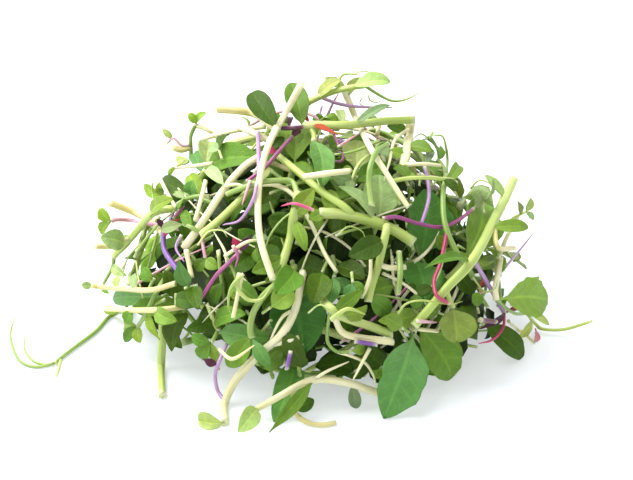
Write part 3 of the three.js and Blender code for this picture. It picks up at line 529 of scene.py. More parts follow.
class Grower:
    """Finds places for shoots among those that already lie in the room."""

    def __init__(
        self, room: Room, tries: Sequence = TRIES, highest: float = HIGHEST_MAIN
    ) -> None:
        """Takes the room, the poses that a leaf tries, and how far a limb may be lifted."""
        self.room = room
        self.tries = tries
        self.highest = highest

    def settle(self, plan: LimbPlan, spots: list[Spot], rooted: bool) -> Optional[tuple]:
        """Lifts a limb's spots until it lies clear of the shoots under it.

        Args:
            plan: The limb's plan.
            spots: Its spots, with its root first if it has one.
            rooted: Whether its first spot stays where it is.

        Returns:
            The limb and its marks, or None where it finds no room.
        """
        lifts = np.zeros(len(spots))
        radius = max(plan.first, plan.last) / 2
        highest = min(self.highest, HIGHEST_SIDE) if rooted else self.highest
        for _ in range(MOST_LIFTS):
            points, path = path_through(spots, lifts, radius)
            steps = len(path) - 1
            share = np.arange(steps + 1) / steps
            marks, place = marks_along(path, (plan.first + (plan.last - plan.first) * share) / 2)
            blocked = self.room.blocked(marks)
            if not blocked.any():
                limb = PlacedLimb(
                    points, path, lifts, plan.first, plan.last, plan.tone, rooted
                )
                return limb, marks
            raised = {nearest(p / steps * (len(spots) - 1)) for p in place[blocked]}
            for k in raised:
                for near in (k - 1, k, k + 1):
                    if (1 if rooted else 0) <= near < len(spots):
                        lifts[near] += LIFT if near == k else LIFT / 2
            if lifts.max() > highest:
                return None
        return None

    def place_leaf(self, base: np.ndarray, plan: LeafPlan, lift: float, own: Marks) -> tuple:
        """Tries a leaf's poses in turn until one lies clear of every shoot and of its own.

        Args:
            base: Where the leaf grows.
            plan: The leaf's plan.
            lift: How far the stem was lifted there.
            own: The marks of its own shoot.

        Returns:
            The leaf and its marks, or None and None.
        """
        for rise, twist, size in self.tries:
            tip = plan.tip.at + plan.tip.way * (lift + rise)
            tip = (tip - base) * size + base
            along = unit(tip - base)
            if FORMS[plan.form].flat:
                face = np.array([0.0, 0, 1])
            else:
                face = unit(MOUND.outwards((base + tip) / 2) + plan.tip.way)
            face = turned(unit(face - along * (face @ along)), along, plan.turn + twist)
            leaf = PlacedLeaf(base, tip, face, plan.width * size, plan.form, plan.tone)
            marks = marks_over(solid_blade(leaf))
            if self.room.blocked(marks).any():
                continue
            away = np.linalg.norm(marks.at - base, axis=1) >= ROOT_ROOM
            if away.any() and Marks(marks.at[away], marks.reach[away]).meets(own, 0).any():
                continue
            return leaf, marks
        return None, None

    def grow(self, plans: list[LimbPlan]) -> list[Optional[PlacedLimb]]:
        """Grows a shoot's limbs with their leaves, and takes their room.

        Args:
            plans: The limbs' plans, each rooted on an earlier one or cut free.

        Returns:
            The limbs in their places, with None for one that found no room.
        """
        limbs: list[Optional[PlacedLimb]] = []
        marks = Marks.none()
        for plan in plans:
            rooted = len(plan.root) > 0
            spots = list(plan.spots)
            if rooted:
                if limbs[plan.root[0]] is None:
                    limbs.append(None)
                    continue
                start = along_path(limbs[plan.root[0]].path, plan.root[1])
                spots.insert(0, Spot(start, spots[0].way))
            settled = self.settle(plan, spots, rooted)
            if settled is None:
                limbs.append(None)
                continue
            limb, more = settled
            limbs.append(limb)
            marks = marks.with_more(more)
            for leaf_plan in plan.leaves:
                base = along_path(limb.path, leaf_plan.share)
                lift = limb.lifts[nearest(leaf_plan.share * (len(limb.lifts) - 1))]
                leaf, more = self.place_leaf(base, leaf_plan, lift, marks)
                if leaf is not None:
                    limb.leaves.append(leaf)
                    marks = marks.with_more(more)
        if len(marks.at):
            self.room.take(marks)
        return limbs


# ---- the shoots
# The shoots with solids, lowest first. A shoot is a name and its limbs. A limb is where it grows
# from, as [limb, share along it] or [] for a cut end, its colour, its thickness at both ends, its
# points [across, up, how far out], and then each leaf [share along the limb, tip across, tip up,
# width, colour and form, turn about the midrib, how far out], all seen from in front. What a
# point or leaf leaves off its end is 0.
SHOOTS = [
  ["spinach_sprout_01", [
    [[], "green", 2, 1.6, [[-9, -8, -14], [-8, -13, -9], [-7, -17, -6]],
      [1, -4, -42, 20, "teal broad", 0, 6], [0.6, -20, -26, 9, "dark oval"],
      [0.3, 4, -12, 10, "dark oval"]],
    [[0, 1], "green", 1.6, 1.4, [[-8, -30, -12], [-8, -44, -10]],
      [1, -16, -68, 10, "blue broad", 0, -2]]]],
  ["spinach_sprout_02", [
    [[], "green", 2, 1.6, [[22, -12, -14], [30, -10, -9], [38, -7, -6]],
      [1, 41, 19, 19, "teal broad", 0.2, 6], [0.9, 40, -23, 15, "teal broad", 0, 6],
      [0.2, 18, -8, 10, "dark oval"]]]],
  ["rocket_sprout_02", [
    [[], "green", 2, 1.5, [[-46, -16, -12], [-52, -19, -8], [-57, -21, -6]],
      [1, -74, -21.5, 7, "blue oval", 0, 3], [0.5, -60, -12, 6, "dark oval"]]]],
  ["tendril_shoot_01", [
    [[], "green", 2, 1.5, [[-62, -24, -7], [-70, -26, -2], [-75, -28.5], [-82, -35], [-90, -41],
      [-97, -46.5]], [0.3, -79, -26, 3.5, "bright small"]],
    [[0, 1], "green", 1.3, 0.9, [[-104, -47.5, 1], [-110, -45, 2], [-113, -38, 3], [-113, -33, 5],
      [-111.5, -28.5, 6]]],
    [[0, 1], "green", 1.2, 0.9, [[-101, -46.5, 2], [-105, -45, 4], [-108, -41, 5],
      [-108, -35.5, 6]]],
    [[0, 0.93], "lime", 1.2, 0.9, [[-95.5, -48.5, 0], [-96.5, -51.5, 0]]]]],
  ["pea_shoot_07", [
    [[], "lime", 3.2, 2.8, [[-50, -22, -9], [-56, -28, -3], [-57, -36], [-57.5, -48], [-57, -59]],
      [0.12, -68, -25, 7, "mid oval"], [0.3, -50, -40, 6, "dark oval"]]]],
  ["chard_sprout_01", [
    [[], "green", 2, 1.5, [[-36, 12, -12], [-42, 15, -8], [-46, 16, -6]],
      [1, -59, 20.5, 7, "dark oval"], [0.8, -60, 12, 4.5, "dark lance"],
      [0.4, -47, 24, 6, "bright round"], [1, -46, 22, 6, "blue small"]],
    [[0, 1], "green", 1.6, 1.3, [[-52, 17.5, -1], [-57, 16, 0]],
      [1, -63.5, 20.5, 4.5, "bright small"], [1, -58, 21.5, 4, "bright small"]],
    [[1, 1], "green", 1.1, 0.9, [[-60.5, 14, 1], [-61.5, 11.5, 2], [-60, 9.5, 3],
      [-58, 10.8, 4]]]]],
  ["cress_sprout_01", [
    [[], "green", 1.8, 1.4, [[-56, -14, -7], [-59.5, -20], [-63, -27], [-66, -32]],
      [1, -71.5, -31.5, 4.5, "bright small"], [1, -71, -37.5, 4.5, "mid small"],
      [1, -65.5, -38, 4.5, "bright small"], [0.6, -58, -37, 3.5, "bright lance"]]]],
  ["rocket_sprout_01", [
    [[], "green", 2, 1.5, [[-42, -34, -14], [-48, -27, -9], [-51, -22, -7]],
      [1, -58, -8, 9, "dark toothed"], [0.9, -48, -11, 8, "dark oval"],
      [0.5, -54, -40, 8, "dark oval"], [0.7, -63, -26, 8, "mid oval", 0.7, 3]]]],
  ["radish_sprout_03", [
    [[], "green", 1.8, 1.5, [[-46.3, 30, -7], [-46.6, 35], [-46.4, 39], [-44.5, 43]],
      [1, -47.2, 47, 3.4, "bright round"], [1, -41, 47.2, 3.6, "bright round"]],
    [[0, 0.95], "cream", 1.6, 1.5, [[-40, 40.5, 1], [-36, 37, 1], [-31.5, 33, -2]]],
    [[0, 0.3], "straw", 2.4, 2.4, [[-50, 33.3, 1], [-53.5, 34.5, 1]]],
    [[0, 0.35], "rose", 1.3, 1.1, [[-50, 35, 1], [-53, 37.8, 1], [-55.5, 35.5, 1]],
      [0.7, -57, 41, 2.6, "pale small"]]]],
  ["sunflower_shoot_01", [
    [[], "lime", 2.4, 1.8, [[-42, 16, -14], [-43, 22, -8], [-41, 26, -5]],
      [1, -21.5, 30.5, 11.5, "mid oval", 0, 3], [0.8, -46, 32.5, 5, "blue oval"],
      [1, -39, 37, 8, "pale round"]]]],
  ["spinach_sprout_03", [
    [[], "green", 2, 1.5, [[-20, -2, -12], [-23, -5, -8]], [1, -33, -12, 9, "dark oval"],
      [0.5, -14, -10, 8, "dark oval"], [1, -29, 4, 8, "mid oval"]]]],
  ["pea_shoot_01", [
    [[], "lime", 2.6, 1.8, [[-10, 20, -12], [-9, 25, -7], [-8, 28, -4]],
      [1, -8, 40.5, 12.5, "bright round"], [0.5, -2, 38, 8, "dark oval"],
      [0.2, -20, 14, 9, "dark oval"]]]],
  ["mustard_sprout_01", [
    [[], "green", 1.8, 1.4, [[12, 18, -12], [14, 21, -7], [15, 24, -4]],
      [1, 15.5, 37, 11, "pale toothed"], [0.6, 27, 28, 7, "mid oval"],
      [0.4, 4, 30, 8, "dark oval"]]]],
  ["pea_shoot_02", [
    [[], "lime", 2.4, 1.8, [[18, -2, -12], [21, 3, -6], [23, 7, -3]],
      [1, 23, 24.5, 13.5, "pale broad"], [0.5, 13, 2, 9, "dark oval"],
      [0.8, 34, 14, 8, "mid oval"]],
    [[0, 0.6], "green", 1.6, 1, [[19.5, 10, 4], [20, 22, 6], [21, 31, 5], [23, 35.5, 4],
      [27, 36.5, 3]]]]],
  ["pea_shoot_03", [
    [[], "lime", 2.4, 1.8, [[44, -18, -14], [51, -12, -5], [54, -8, 0]],
      [1, 60, 15.5, 17, "bright broad", 0, 4], [0.6, 58, -20, 8, "dark oval"],
      [0.3, 38, -24, 9, "dark oval"]],
    [[0, 0], "green", 1.6, 1.3, [[52, -26, -8], [62, -31, -5]], [1, 77, -44, 9, "dark oval"]]]],
  ["radish_sprout_01", [
    [[], "rose", 1.8, 1.4, [[-50, 4, -8], [-62, 6], [-68, 7.2], [-74, 7.5], [-76, 6.8]],
      [1, -80, 12, 5, "bright round"], [1, -79.5, 2, 5.5, "bright round"]],
    [[0, 0.15], "straw", 2.4, 2.6, [[-57, 3, 0], [-65, 9, 2], [-77, 14, 2]]]]],
  ["pea_shoot_04", [
    [[], "lime", 3, 2.6, [[-52, 12, -7], [-61, 9.5], [-68, 1.5], [-75, -6]],
      [0.35, -52, 15, 6, "bright oval"], [0.85, -68, 1.8, 7, "pale oval"],
      [0.8, -80, 1, 8, "pale oval"]],
    [[0, 1], "green", 1.6, 1.2, [[-75.5, -10, 1], [-79, -16.5, 1]],
      [0.5, -71, -13, 4, "pale small"], [1, -77, -20, 3.5, "bright small"]],
    [[0, 0.7], "straw", 2, 2.2, [[-76, -2.3, 1], [-82, -2.3, 1]]]]],
  ["pea_shoot_05", [
    [[], "straw", 2.2, 2, [[-52, -16, -6], [-61, -18.5], [-70, -18.2], [-79, -17.5], [-83, -17]],
      [1, -87, -16.5, 3, "bud small"], [0.4, -68, -12.5, 4, "pale small"],
      [0.6, -73, -13, 4, "pale small"]]]],
  ["pea_shoot_06", [
    [[], "straw", 2.2, 2, [[-46, -24, -8], [-55, -25.5], [-65, -26], [-78, -25.5]],
      [0.5, -52, -30, 6, "bright oval"], [0.75, -70, -31, 5, "mid small"]]]],
  ["amaranth_sprout_01", [
    [[], "violet", 1.8, 2, [[-56.5, 4], [-56.5, -3], [-53, -9], [-49.5, -13.5], [-46, -17, -4]],
      [0, -60, 9, 3, "wine lance"], [0.1, -51, 8, 3, "hot lance"]]]],
  ["radish_sprout_02", [
    [[], "rose", 1.5, 1.3, [[-44, 9, -8], [-42.5, 3, -3], [-42, -2], [-41, -7]],
      [1, -44.5, -11.5, 4.6, "mid small"], [1, -36.5, -10.5, 4.6, "bright small"]]]],
  ["sunflower_shoot_02", [
    [[], "cream", 3, 2.6, [[-49, -3], [-44, 4], [-40, 10], [-34, 19], [-27, 27], [-20, 31.5],
      [-17, 33]], [1, -12, 38, 4, "dark oval"]]]],
  ["sunflower_shoot_03", [
    [[], "lime", 3, 2.8, [[-43, 1.5], [-38, 5.5], [-33, 10], [-28, 15], [-23, 20.5]],
      [0.95, -17, 27, 5, "pale oval"]],
    [[0, 0.05], "green", 1.6, 1.3, [[-47, 5, 1], [-49, 5.8, 1]], [1, -58, 3.5, 4.5, "pale lance"],
      [0.4, -49, 11, 4, "mid small"]],
    [[0, 1], "cream", 1.8, 1.4, [[-15, 20.3, 1], [-8, 16], [-2, 6], [3, -5], [7.5, -12]]],
    [[0, 0.9], "cream", 1.4, 1.3, [[-29, 20.4, 1], [-34, 20, 0]],
      [1, -41, 26.5, 4.5, "pale small"]]]],
  ["sunflower_shoot_04", [
    [[], "lime", 3.2, 2.8, [[-7, 17, -4], [-7.5, 13], [-9, 6], [-10, 0], [-14, -13],
      [-16, -19, -4]], [0.3, -1, 19, 7, "bright oval"], [0.35, -4, -4, 4.5, "bright oval"],
      [0.7, -24, -12, 6, "mid oval"]],
    [[0, 0], "green", 2.2, 2, [[-9, 21.5, 1], [-14, 22, 1], [-20, 21.5, 1], [-28, 19, 0],
      [-33, 17, -3]]]]],
  ["mustard_sprout_02", [
    [[], "green", 1.6, 1.4, [[6, -6, -12], [7, -11, -7], [6.5, -14, -4]],
      [1, 5, -23.5, 5.5, "blue oval"], [1, 13, -20, 5.5, "blue oval"],
      [0.4, -3, -13, 7, "dark oval"], [0.4, 18, -15, 8, "dark oval"]]]],
  ["pea_shoot_10", [
    [[], "lime", 2, 1.7, [[-40, -24, -12], [-38, -30, -7], [-36, -34, -3]],
      [1, -17.5, -36.5, 8.5, "blue oval"], [0.6, -27, -27, 7, "mid oval"],
      [0.5, -48, -33, 5, "dark oval"]],
    [[0, 0.9], "green", 1.4, 1.2, [[-38, -36.5, -1], [-39, -38, 0]],
      [1, -46.2, -35.3, 4.6, "mid round"], [1, -43, -44, 5.5, "mid round"],
      [1, -36.5, -45, 4, "bright small"]]]],
  ["pea_shoot_09", [
    [[], "green", 2.4, 2.2, [[-8, -10, -7], [-12, -14], [-19, -20], [-23, -26], [-24.5, -32],
      [-24, -36]], [1, -16.5, -48, 5, "blue lance"], [0.05, -16, -21, 9, "mid round", -0.2, 6],
      [0.5, -31, -15, 6, "mid oval"], [0.97, -33, -47, 7.5, "mid oval"]],
    [[0, 0.5], "cream", 1.4, 1.2, [[-25, -17, 1], [-28, -13, 1]]]]],
  ["sunflower_shoot_05", [
    [[], "cream", 2.6, 3, [[-5, -12, -6], [-6, -17], [-8, -26], [-13, -35], [-22, -43], [-30, -52],
      [-34, -62], [-34, -69]], [1, -43.8, -66.5, 9, "bud round"], [0.4, -5, -47, 7, "dark oval"]],
    [[0, 0.28], "cream", 1.4, 1.2, [[-13, -29, 1], [-18, -39, 1]]],
    [[0, 0.5], "cream", 1.8, 1.8, [[-10, -37.3, 1], [-6.5, -36, 1]]],
    [[0, 0.84], "mauve", 1.5, 1.4, [[-36.5, -56, 1], [-37.5, -50, 1], [-36, -45, 0],
      [-33, -38, -6]], [0.7, -42, -44, 3, "wine lance"]]]],
  ["sunflower_shoot_06", [
    [[], "cream", 3, 2.2, [[24, -57], [18, -55], [12, -53], [2, -51.5], [-5, -53], [-14, -58],
      [-22, -62.5]], [1, -29.5, -71.5, 7, "bud oval"], [0.58, -17, -71, 5, "mid lance", 0.5, 1],
      [0.3, 15, -62.5, 4.5, "ash oval"]],
    [[0, 0.6], "cream", 1.2, 1.1, [[4, -48.5, 1], [12, -45, 0]]],
    [[0, 0.72], "straw", 1.9, 1.8, [[-9, -61, 1], [-7, -65, 1], [-3, -68.5, 1], [2, -69.3, 1],
      [7, -68.5, 1]], [0.3, -1, -59, 5, "dark small"]]]],
  ["pea_shoot_11", [
    [[], "lime", 3, 3, [[2, -22, -9], [6, -26, -3], [11, -29], [20, -32], [28, -35]],
      [0.4, 19, -24.5, 6, "bright oval", 0.7], [0.3, 17, -18.5, 5, "mid oval"]],
    [[0, 0.2], "green", 1.5, 1.2, [[4, -34, 1], [4.5, -38.5, 2], [8, -41.5, 3], [13, -41, 3]],
      [1, 18, -39.5, 4, "bright small"]],
    [[0, 0.25], "cream", 2.4, 2.6, [[9, -33.5, 2], [15, -36, 3], [28, -37.6, 3]]],
    [[1, 0.75], "cream", 1.3, 1.2, [[13, -43, 2], [18, -45.5, 1], [21, -50, 1], [22, -54, 1]]]]],
  ["lettuce_leaf_01", [
    [[], "lime", 2.6, 2, [[36, -22, -12], [37, -29, -7], [36, -34, -3]],
      [1, 24.5, -66, 18, "blue broad", -0.2, 2], [0.7, 51, -52, 14, "mid broad"],
      [0.4, 24, -30, 7, "bright oval"]]]],
  ["pea_shoot_12", [
    [[], "lime", 3.4, 3.8, [[1, 10], [7, 9.8], [12, 9], [20, 7], [28, 4], [36, -1]],
      [0.05, -7, 6, 8, "bright oval"], [0.15, 5, 18.5, 6, "bright oval"],
      [0.64, 8.2, 20.1, 6.5, "pale oval", 0.7, 3]],
    [[0, 0.45], "lime", 2.9, 2.4, [[10, 12.5, 2], [3, 17, 2], [-3, 22, 1], [-9, 27, 0],
      [-14, 31, -3]]]]],
  ["mustard_sprout_03", [
    [[], "lime", 2.8, 2.6, [[26, 5, -3], [25.5, 2], [23, -9], [20.5, -17], [19, -23]],
      [0.9, 27, -27, 7, "mid oval"], [0.3, 12, -6, 8, "dark oval"]],
    [[0, 0.5], "cream", 2, 2, [[27, -10.3, 2], [33, -10, 2]]]]],
  ["amaranth_sprout_03", [
    [[], "magenta", 1.5, 1.4, [[-9, 38, -2], [-12, 35], [-18, 28], [-22, 24.5], [-26, 21.5]],
      [0.35, -20, 33, 3.2, "hot lance"], [0, -6, 41, 3, "wine small"]]]],
  ["amaranth_sprout_04", [
    [[], "magenta", 1.6, 1.5, [[-28, -4, -2], [-32, -8], [-37, -13], [-41, -19], [-44, -23.5]],
      [0.02, -24, 2, 3, "wine lance"], [0, -31, 1, 3, "hot lance"]],
    [[0, 0.3], "cream", 1.3, 1.2, [[-34, -4, 1], [-38, 3, 1]]]]],
  ["pea_shoot_13", [
    [[], "lime", 3.6, 3.2, [[73, 23], [69.5, 15], [66, 8], [58, -7], [48, -18], [36, -32]],
      [0.2, 62, 24, 4.5, "bud oval"], [0.45, 79, 5, 5, "bright oval"],
      [0.62, 40, -10, 5, "mid lance", 0.8]],
    [[0, 0.4], "straw", 2, 2, [[67, -2.5, 5], [73, -3, 5]]],
    [[0, 0.8], "lime", 1.8, 1.7, [[50.5, -25, 1]], [1, 52, -38, 14, "lime round", 0, 7]]]],
  ["amaranth_sprout_05", [
    [[], "magenta", 1.5, 1.4, [[24.5, 8], [30, 8.4], [38, 6], [46, 4.8], [52, 7], [58, 11.5]],
      [1, 68, 7, 4, "ash small"], [1, 60, 18, 4, "ash small"]],
    [[0, 0.42], "mauve", 1.5, 1.4, [[41.3, 14, 2], [41.5, 20, 2], [40, 27, 1]],
      [1, 42, 33, 3.4, "ash small"]]]],
  ["pea_shoot_14", [
    [[], "green", 2, 2.2, [[48, 24], [46.8, 16], [47.5, 6], [51, -3], [55, -9], [58, -14, -4]],
      [0.1, 53, 28, 4.5, "bright oval"], [0.6, 66, -8, 5, "bright lance", 0.6]],
    [[0, 0], "green", 1.3, 1, [[48.5, 29, 1], [48, 34, 2], [46.5, 38.5, 2], [42.5, 38.5, 3]]],
    [[0, 0.45], "hot", 1.5, 1.4, [[46, -8, 1], [43.5, -15, 1], [44.5, -20.5, 1], [49, -23.5, 1]]],
    [[0, 0.03], "green", 1.6, 1.4, [[47, 27, 2], [45, 29.5, 3]],
      [1, 40, 37.5, 6, "mid oval", 0.7, -3], [1, 46, 35, 3.6, "bright oval"]]]],
  ["amaranth_sprout_07", [
    [[], "mauve", 1.8, 1.6, [[58, -7, -2], [60, -10.5], [65, -19], [69.5, -27]],
      [1, 74, -23, 3, "hot lance"], [1, 60, -33, 2.6, "wine lance"]],
    [[0, 1], "hot", 1.2, 1.1, [[69, -32.5, 1], [65, -37, 1], [60, -38.3, 0]]]]],
  ["shiso_sprout_01", [
    [[], "cream", 2.4, 2.2, [[68, -7, -3], [67.3, -12], [66.2, -18], [66.5, -22]],
      [1, 84.5, -22.5, 15, "bright toothed"]],
    [[0, 1], "green", 1.4, 1.3, [[73, -27, 0], [79, -27, 1]], [1, 86, -31.5, 3, "bud small"]],
    [[1, 0.9], "lime", 1.4, 1.3, [[81, -31, 0], [84, -33, 0], [92, -33, 0], [102, -30, 1]],
      [0.15, 75, -36.5, 4, "bud small"]]]],
  ["cress_sprout_04", [
    [[], "cream", 3.6, 3.2, [[35, 44], [34, 38], [33, 31], [31, 24, -5]],
      [0.3, 26, 42, 6, "dark oval"], [0.5, 43, 33, 6, "bright oval", 0, 3],
      [0.7, 27, 33, 4.5, "bright small"]],
    [[0, 0.15], "cream", 1.4, 1.2, [[29, 37, 1], [27, 29, 1], [25, 22, 0]]]]],
  ["sunflower_shoot_07", [
    [[], "cream", 2.6, 2, [[10, 56], [12.5, 50], [15, 44], [20, 34], [25, 26], [30, 18], [34, 12]],
      [0.05, 3, 60, 4.5, "bud oval"], [0.08, 17, 60, 4.5, "pale oval"]]]],
  ["pea_shoot_15", [
    [[], "lime", 3, 3, [[-5, 42, -4], [0, 42.6], [10, 42.5], [18, 43.2], [25, 44], [36, 44.5]],
      [0.5, 27, 50.5, 3.5, "ash oval"], [0.4, 8, 48.5, 3.5, "pale small"],
      [0, -9.5, 58, 8.5, "mid oval", 0, -4], [0.12, -8, 46.5, 2.4, "rust lance"],
      [0.14, 8, 38.5, 2.4, "rust lance"]],
    [[0, 0.1], "lime", 2, 1.8, [[-1, 39, 0], [-1, 36.5, 0]], [1, 2, 19.5, 9, "blue oval", -0.4]]]],
  ["sunflower_shoot_08", [
    [[], "cream", 2.5, 2.4, [[-5.5, 58, 9], [-12, 46, 4], [-17, 37], [-20, 28], [-21.5, 18],
      [-21.5, 6], [-20, -3], [-16, -15]], [0.22, -24.2, 55.5, 8.5, "dark oval"]],
    [[0, 0.22], "straw", 3, 3.2, [[-22, 46.5, 0], [-30, 48, -2], [-37, 48.5, -4]]]]],
  ["pea_shoot_16", [
    [[], "lime", 2.6, 1.8, [[-6, 47, -5], [-3, 51], [5, 54.5], [12, 56.3], [18, 57]],
      [0.35, 9, 59.5, 5.5, "bud oval", 0, 1], [0.8, 27.3, 59, 7, "bud round"]],
    [[0, 1], "green", 1.2, 0.9, [[23, 53.8, 1], [28, 51.5, 2], [33, 52, 2], [38, 54.5, 2]]],
    [[0, 0.6], "green", 1.1, 0.9, [[9, 60.5, 1], [12, 61.5, 1], [16, 61, 2]]]]],
]


def entry(row: Sequence, place: int) -> float:
    """What a row holds at a place, or 0 where it ends before it."""
    return row[place] if len(row) > place else 0.0


def seen_plans(rows: Sequence, sink: float) -> list[LimbPlan]:
    """Reads a shoot from the table and sinks it into the mound.

    Args:
        rows: The shoot's limbs as the table gives them.
        sink: How deep it lies.

    Returns:
        The limbs' plans.
    """
    plans = []
    for root, tone, first, last, points, *leaves in rows:
        spots = [MOUND.seat(p[0], p[1], entry(p, 2) - sink) for p in points]
        grown = []
        for leaf in leaves:
            share, u, w, width, kind = leaf[:5]
            shade, form = kind.split()
            tip = MOUND.seat(u, w, entry(leaf, 6) - sink)
            grown.append(LeafPlan(share, tip, width, form, Tone[shade.upper()], entry(leaf, 5)))
        plans.append(LimbPlan(root, Tone[tone.upper()], first, last, spots, grown))
    return plans


# The shoot under the heap lies flat on the table, with its leaves pressed.
TABLE_STEMS = (
    ((), 2.6, 2.4, ((-50, -16), (-26, -4), (0, 2), (26, -2), (50, -14))),
    ((0, 0.25), 2.4, 2, ((-24, 14), (-26, 32))),
    ((0, 0.75), 2.4, 2, ((22, 14), (30, 34))),
)
TABLE_LEAVES = (
    ((0.12, -46, -34, 13), (0.5, -6, -18, 15), (0.88, 42, -34, 13)),
    ((1, -14, 46, 12),),
    ((1, 20, 50, 12),),
)


def table_plans() -> list[LimbPlan]:
    """The limbs of the shoot under the heap."""
    up = np.array([0.0, 0, 1])

    def spot(x: float, y: float) -> Spot:
        """A spot on the table."""
        return Spot(np.array([x, y, 0.0]), up)

    return [
        LimbPlan(
            root, Tone.GREEN, first, last, [spot(*p) for p in points],
            [LeafPlan(s, spot(x, y), w, "pressed", Tone.DARK, 0.0) for s, x, y, w in leaves],
        )
        for (root, first, last, points), leaves in zip(TABLE_STEMS, TABLE_LEAVES)
    ]


class Draws:
    """Repeatable draws: each state is the one before times a factor, modulo a prime."""

    factor = 16807
    prime = 2147483647

    def __init__(self, seed: int) -> None:
        """Starts the row of draws from a seed."""
        self.state = seed

    def between(self, low: float, high: float) -> float:
        """The next draw, from low to high."""
        self.state = self.state * self.factor % self.prime
        return low + (high - low) * self.state / self.prime

    def pick(self, options: Sequence) -> object:
        """The next draw among options."""
        return options[int(self.between(0, len(options)))]


@dataclass(frozen=True)
class SprayKind:
    """A row of sprays placed by rule on a shell of the mound."""

    name: str
    shell: float
    climb: float
    start: float
    stop: float
    count: int
    tones: tuple


SPRAY_SEED = 4920
SPRAY_STEM = 62.0
SPRAY_SIDE = 26.0
SPRAY_LEAF = 15.0
SPRAY_THICKNESS = (1.8, 3)
SPRAY_LEAF_LENGTH = (0.75, 1.15)
SPRAY_LEAF_WIDTH = (0.45, 0.65)
SPRAY_OVALS = 0.75
SPRAY_RISE = 0.06
SPRAY_TURN = 0.4
SPRAY_SWAY = 0.15
SPRAY_PLACES = (-0.5, -0.17, 0.17, 0.5)
SIDE_PLACES = (0.3, 0.7)
SIDE_SPLAY = (0.9, 1.5)
TAPER = 0.75
SIDE_TAPER = 0.6
SPRAY_TONES = (Tone.CREAM, Tone.LIME, Tone.GREEN, Tone.MAUVE)
SPRAYS = (
    SprayKind("back_spray", 0.94, 9, 14, 166, 4, (Tone.MID, Tone.BRIGHT)),
    SprayKind("rear_spray", 0.94, 34, 25, 155, 3, (Tone.BRIGHT, Tone.PALE)),
    SprayKind("crown_spray", 0.9, 60, 55, 125, 2, (Tone.MID, Tone.BUD)),
    SprayKind("inner_spray", 0.62, 24, 60, 300, 3, (Tone.DARK, Tone.MID)),
)


def spray_plans(kind: SprayKind, bearing: float, draws: Draws) -> list[LimbPlan]:
    """A stem along a shell of the mound, with two side stems and leaves.

    Args:
        kind: The row that the spray is in.
        bearing: Where it lies round the mound.
        draws: The draws that shape it.

    Returns:
        The limbs' plans.
    """
    heading = draws.between(-0.5, 0.5) + (0 if draws.between(0, 1) < 0.5 else math.pi)
    middle = MOUND.on_shell(kind.shell, bearing, math.radians(kind.climb))
    tone = draws.pick(SPRAY_TONES)
    thick = draws.between(*SPRAY_THICKNESS)

    def leaf_from(spot: Spot, share: float, way: float, k: int) -> LeafPlan:
        """A leaf that grows from a spot along a way."""
        shell = kind.shell + draws.between(0, SPRAY_RISE)
        way = way + draws.between(-SPRAY_TURN, SPRAY_TURN)
        tip = MOUND.step_over(shell, spot, way, SPRAY_LEAF * draws.between(*SPRAY_LEAF_LENGTH))
        width = SPRAY_LEAF * draws.between(*SPRAY_LEAF_WIDTH)
        form = "oval" if draws.between(0, 1) < SPRAY_OVALS else "small"
        shade = kind.tones[k % len(kind.tones)]
        return LeafPlan(share, tip, width, form, shade, draws.between(-SPRAY_TURN, SPRAY_TURN))

    spots = []
    for share in SPRAY_PLACES:
        way = heading + draws.between(-SPRAY_SWAY, SPRAY_SWAY)
        spots.append(MOUND.step_over(kind.shell, middle, way, SPRAY_STEM * share))
    leaves = [leaf_from(spots[3], 1, heading + 0.6, 0), leaf_from(spots[1], 0.4, heading + 1.8, 1)]
    plans = [LimbPlan((), tone, thick, thick * TAPER, spots, leaves)]
    for k, share in enumerate(SIDE_PLACES):
        way = heading + (-1 if k == 0 else 1) * draws.between(*SIDE_SPLAY)
        root = spots[k + 1]
        points = [MOUND.step_over(kind.shell, root, way, SPRAY_SIDE * part) for part in (0.5, 1)]
        leaves = [leaf_from(points[1], 1, way + 0.5, k), leaf_from(points[1], 1, way - 0.6, k + 1)]
        ends = (thick * TAPER, thick * SIDE_TAPER)
        plans.append(LimbPlan((0, share), tone, *ends, points, leaves))
    return plans


SKIN = 13.0


def solid_shoots(grower: Grower) -> dict[str, list[PlacedLimb]]:
    """Lays out every shoot that has a solid, in the solids' own order.

    Args:
        grower: What finds the shoots their places.

    Returns:
        The limbs of each shoot by its solid's name.
    """
    shoots = {"table_shoot": grower.grow(table_plans())}
    for k, (name, rows) in enumerate(SHOOTS):
        shoots[name] = grower.grow(seen_plans(rows, SKIN * (1 - k / (len(SHOOTS) - 1))))
    draws = Draws(SPRAY_SEED)
    for kind in SPRAYS:
        for k in range(kind.count):
            share = k / (kind.count - 1)
            bearing = math.radians(kind.start + (kind.stop - kind.start) * share)
            plans = spray_plans(kind, bearing, draws)
            shoots[f"{kind.name}_{k + 1:02d}"] = grower.grow(plans)
    return {name: [limb for limb in limbs if limb] for name, limbs in shoots.items()}


# ---- surfaces
class Finish(Enum):
    """The finishes, by their place among each piece's materials."""

    STEM = 0
    LEAF = 1


@dataclass
class Patch:
    """A closed surface: its points, four- and three-sided faces, colours and own coordinates.

    own holds, on a leaf, how far along and across it each point is and whether it is under it,
    and on a stem, the place round it, along it and how close the cut end is. phase counts a
    leaf's side veins, and tells stems apart.
    """

    points: np.ndarray
    quads: np.ndarray
    triangles: np.ndarray
    tint: np.ndarray
    own: np.ndarray
    phase: np.ndarray
    finish: Finish


def ring_faces(rings: int, sides: int) -> np.ndarray:
    """The four-sided faces between rings of points that close on themselves."""
    i = np.arange(rings - 1)[:, None] * sides
    k = np.arange(sides)[None]
    after = (k + 1) % sides
    return np.stack([i + k, i + after, i + sides + after, i + sides + k], -1).reshape(-1, 4)


FULL_TURN = 6.28
FAR_FROM_CUT = 9.0
STEM_PHASES = 50


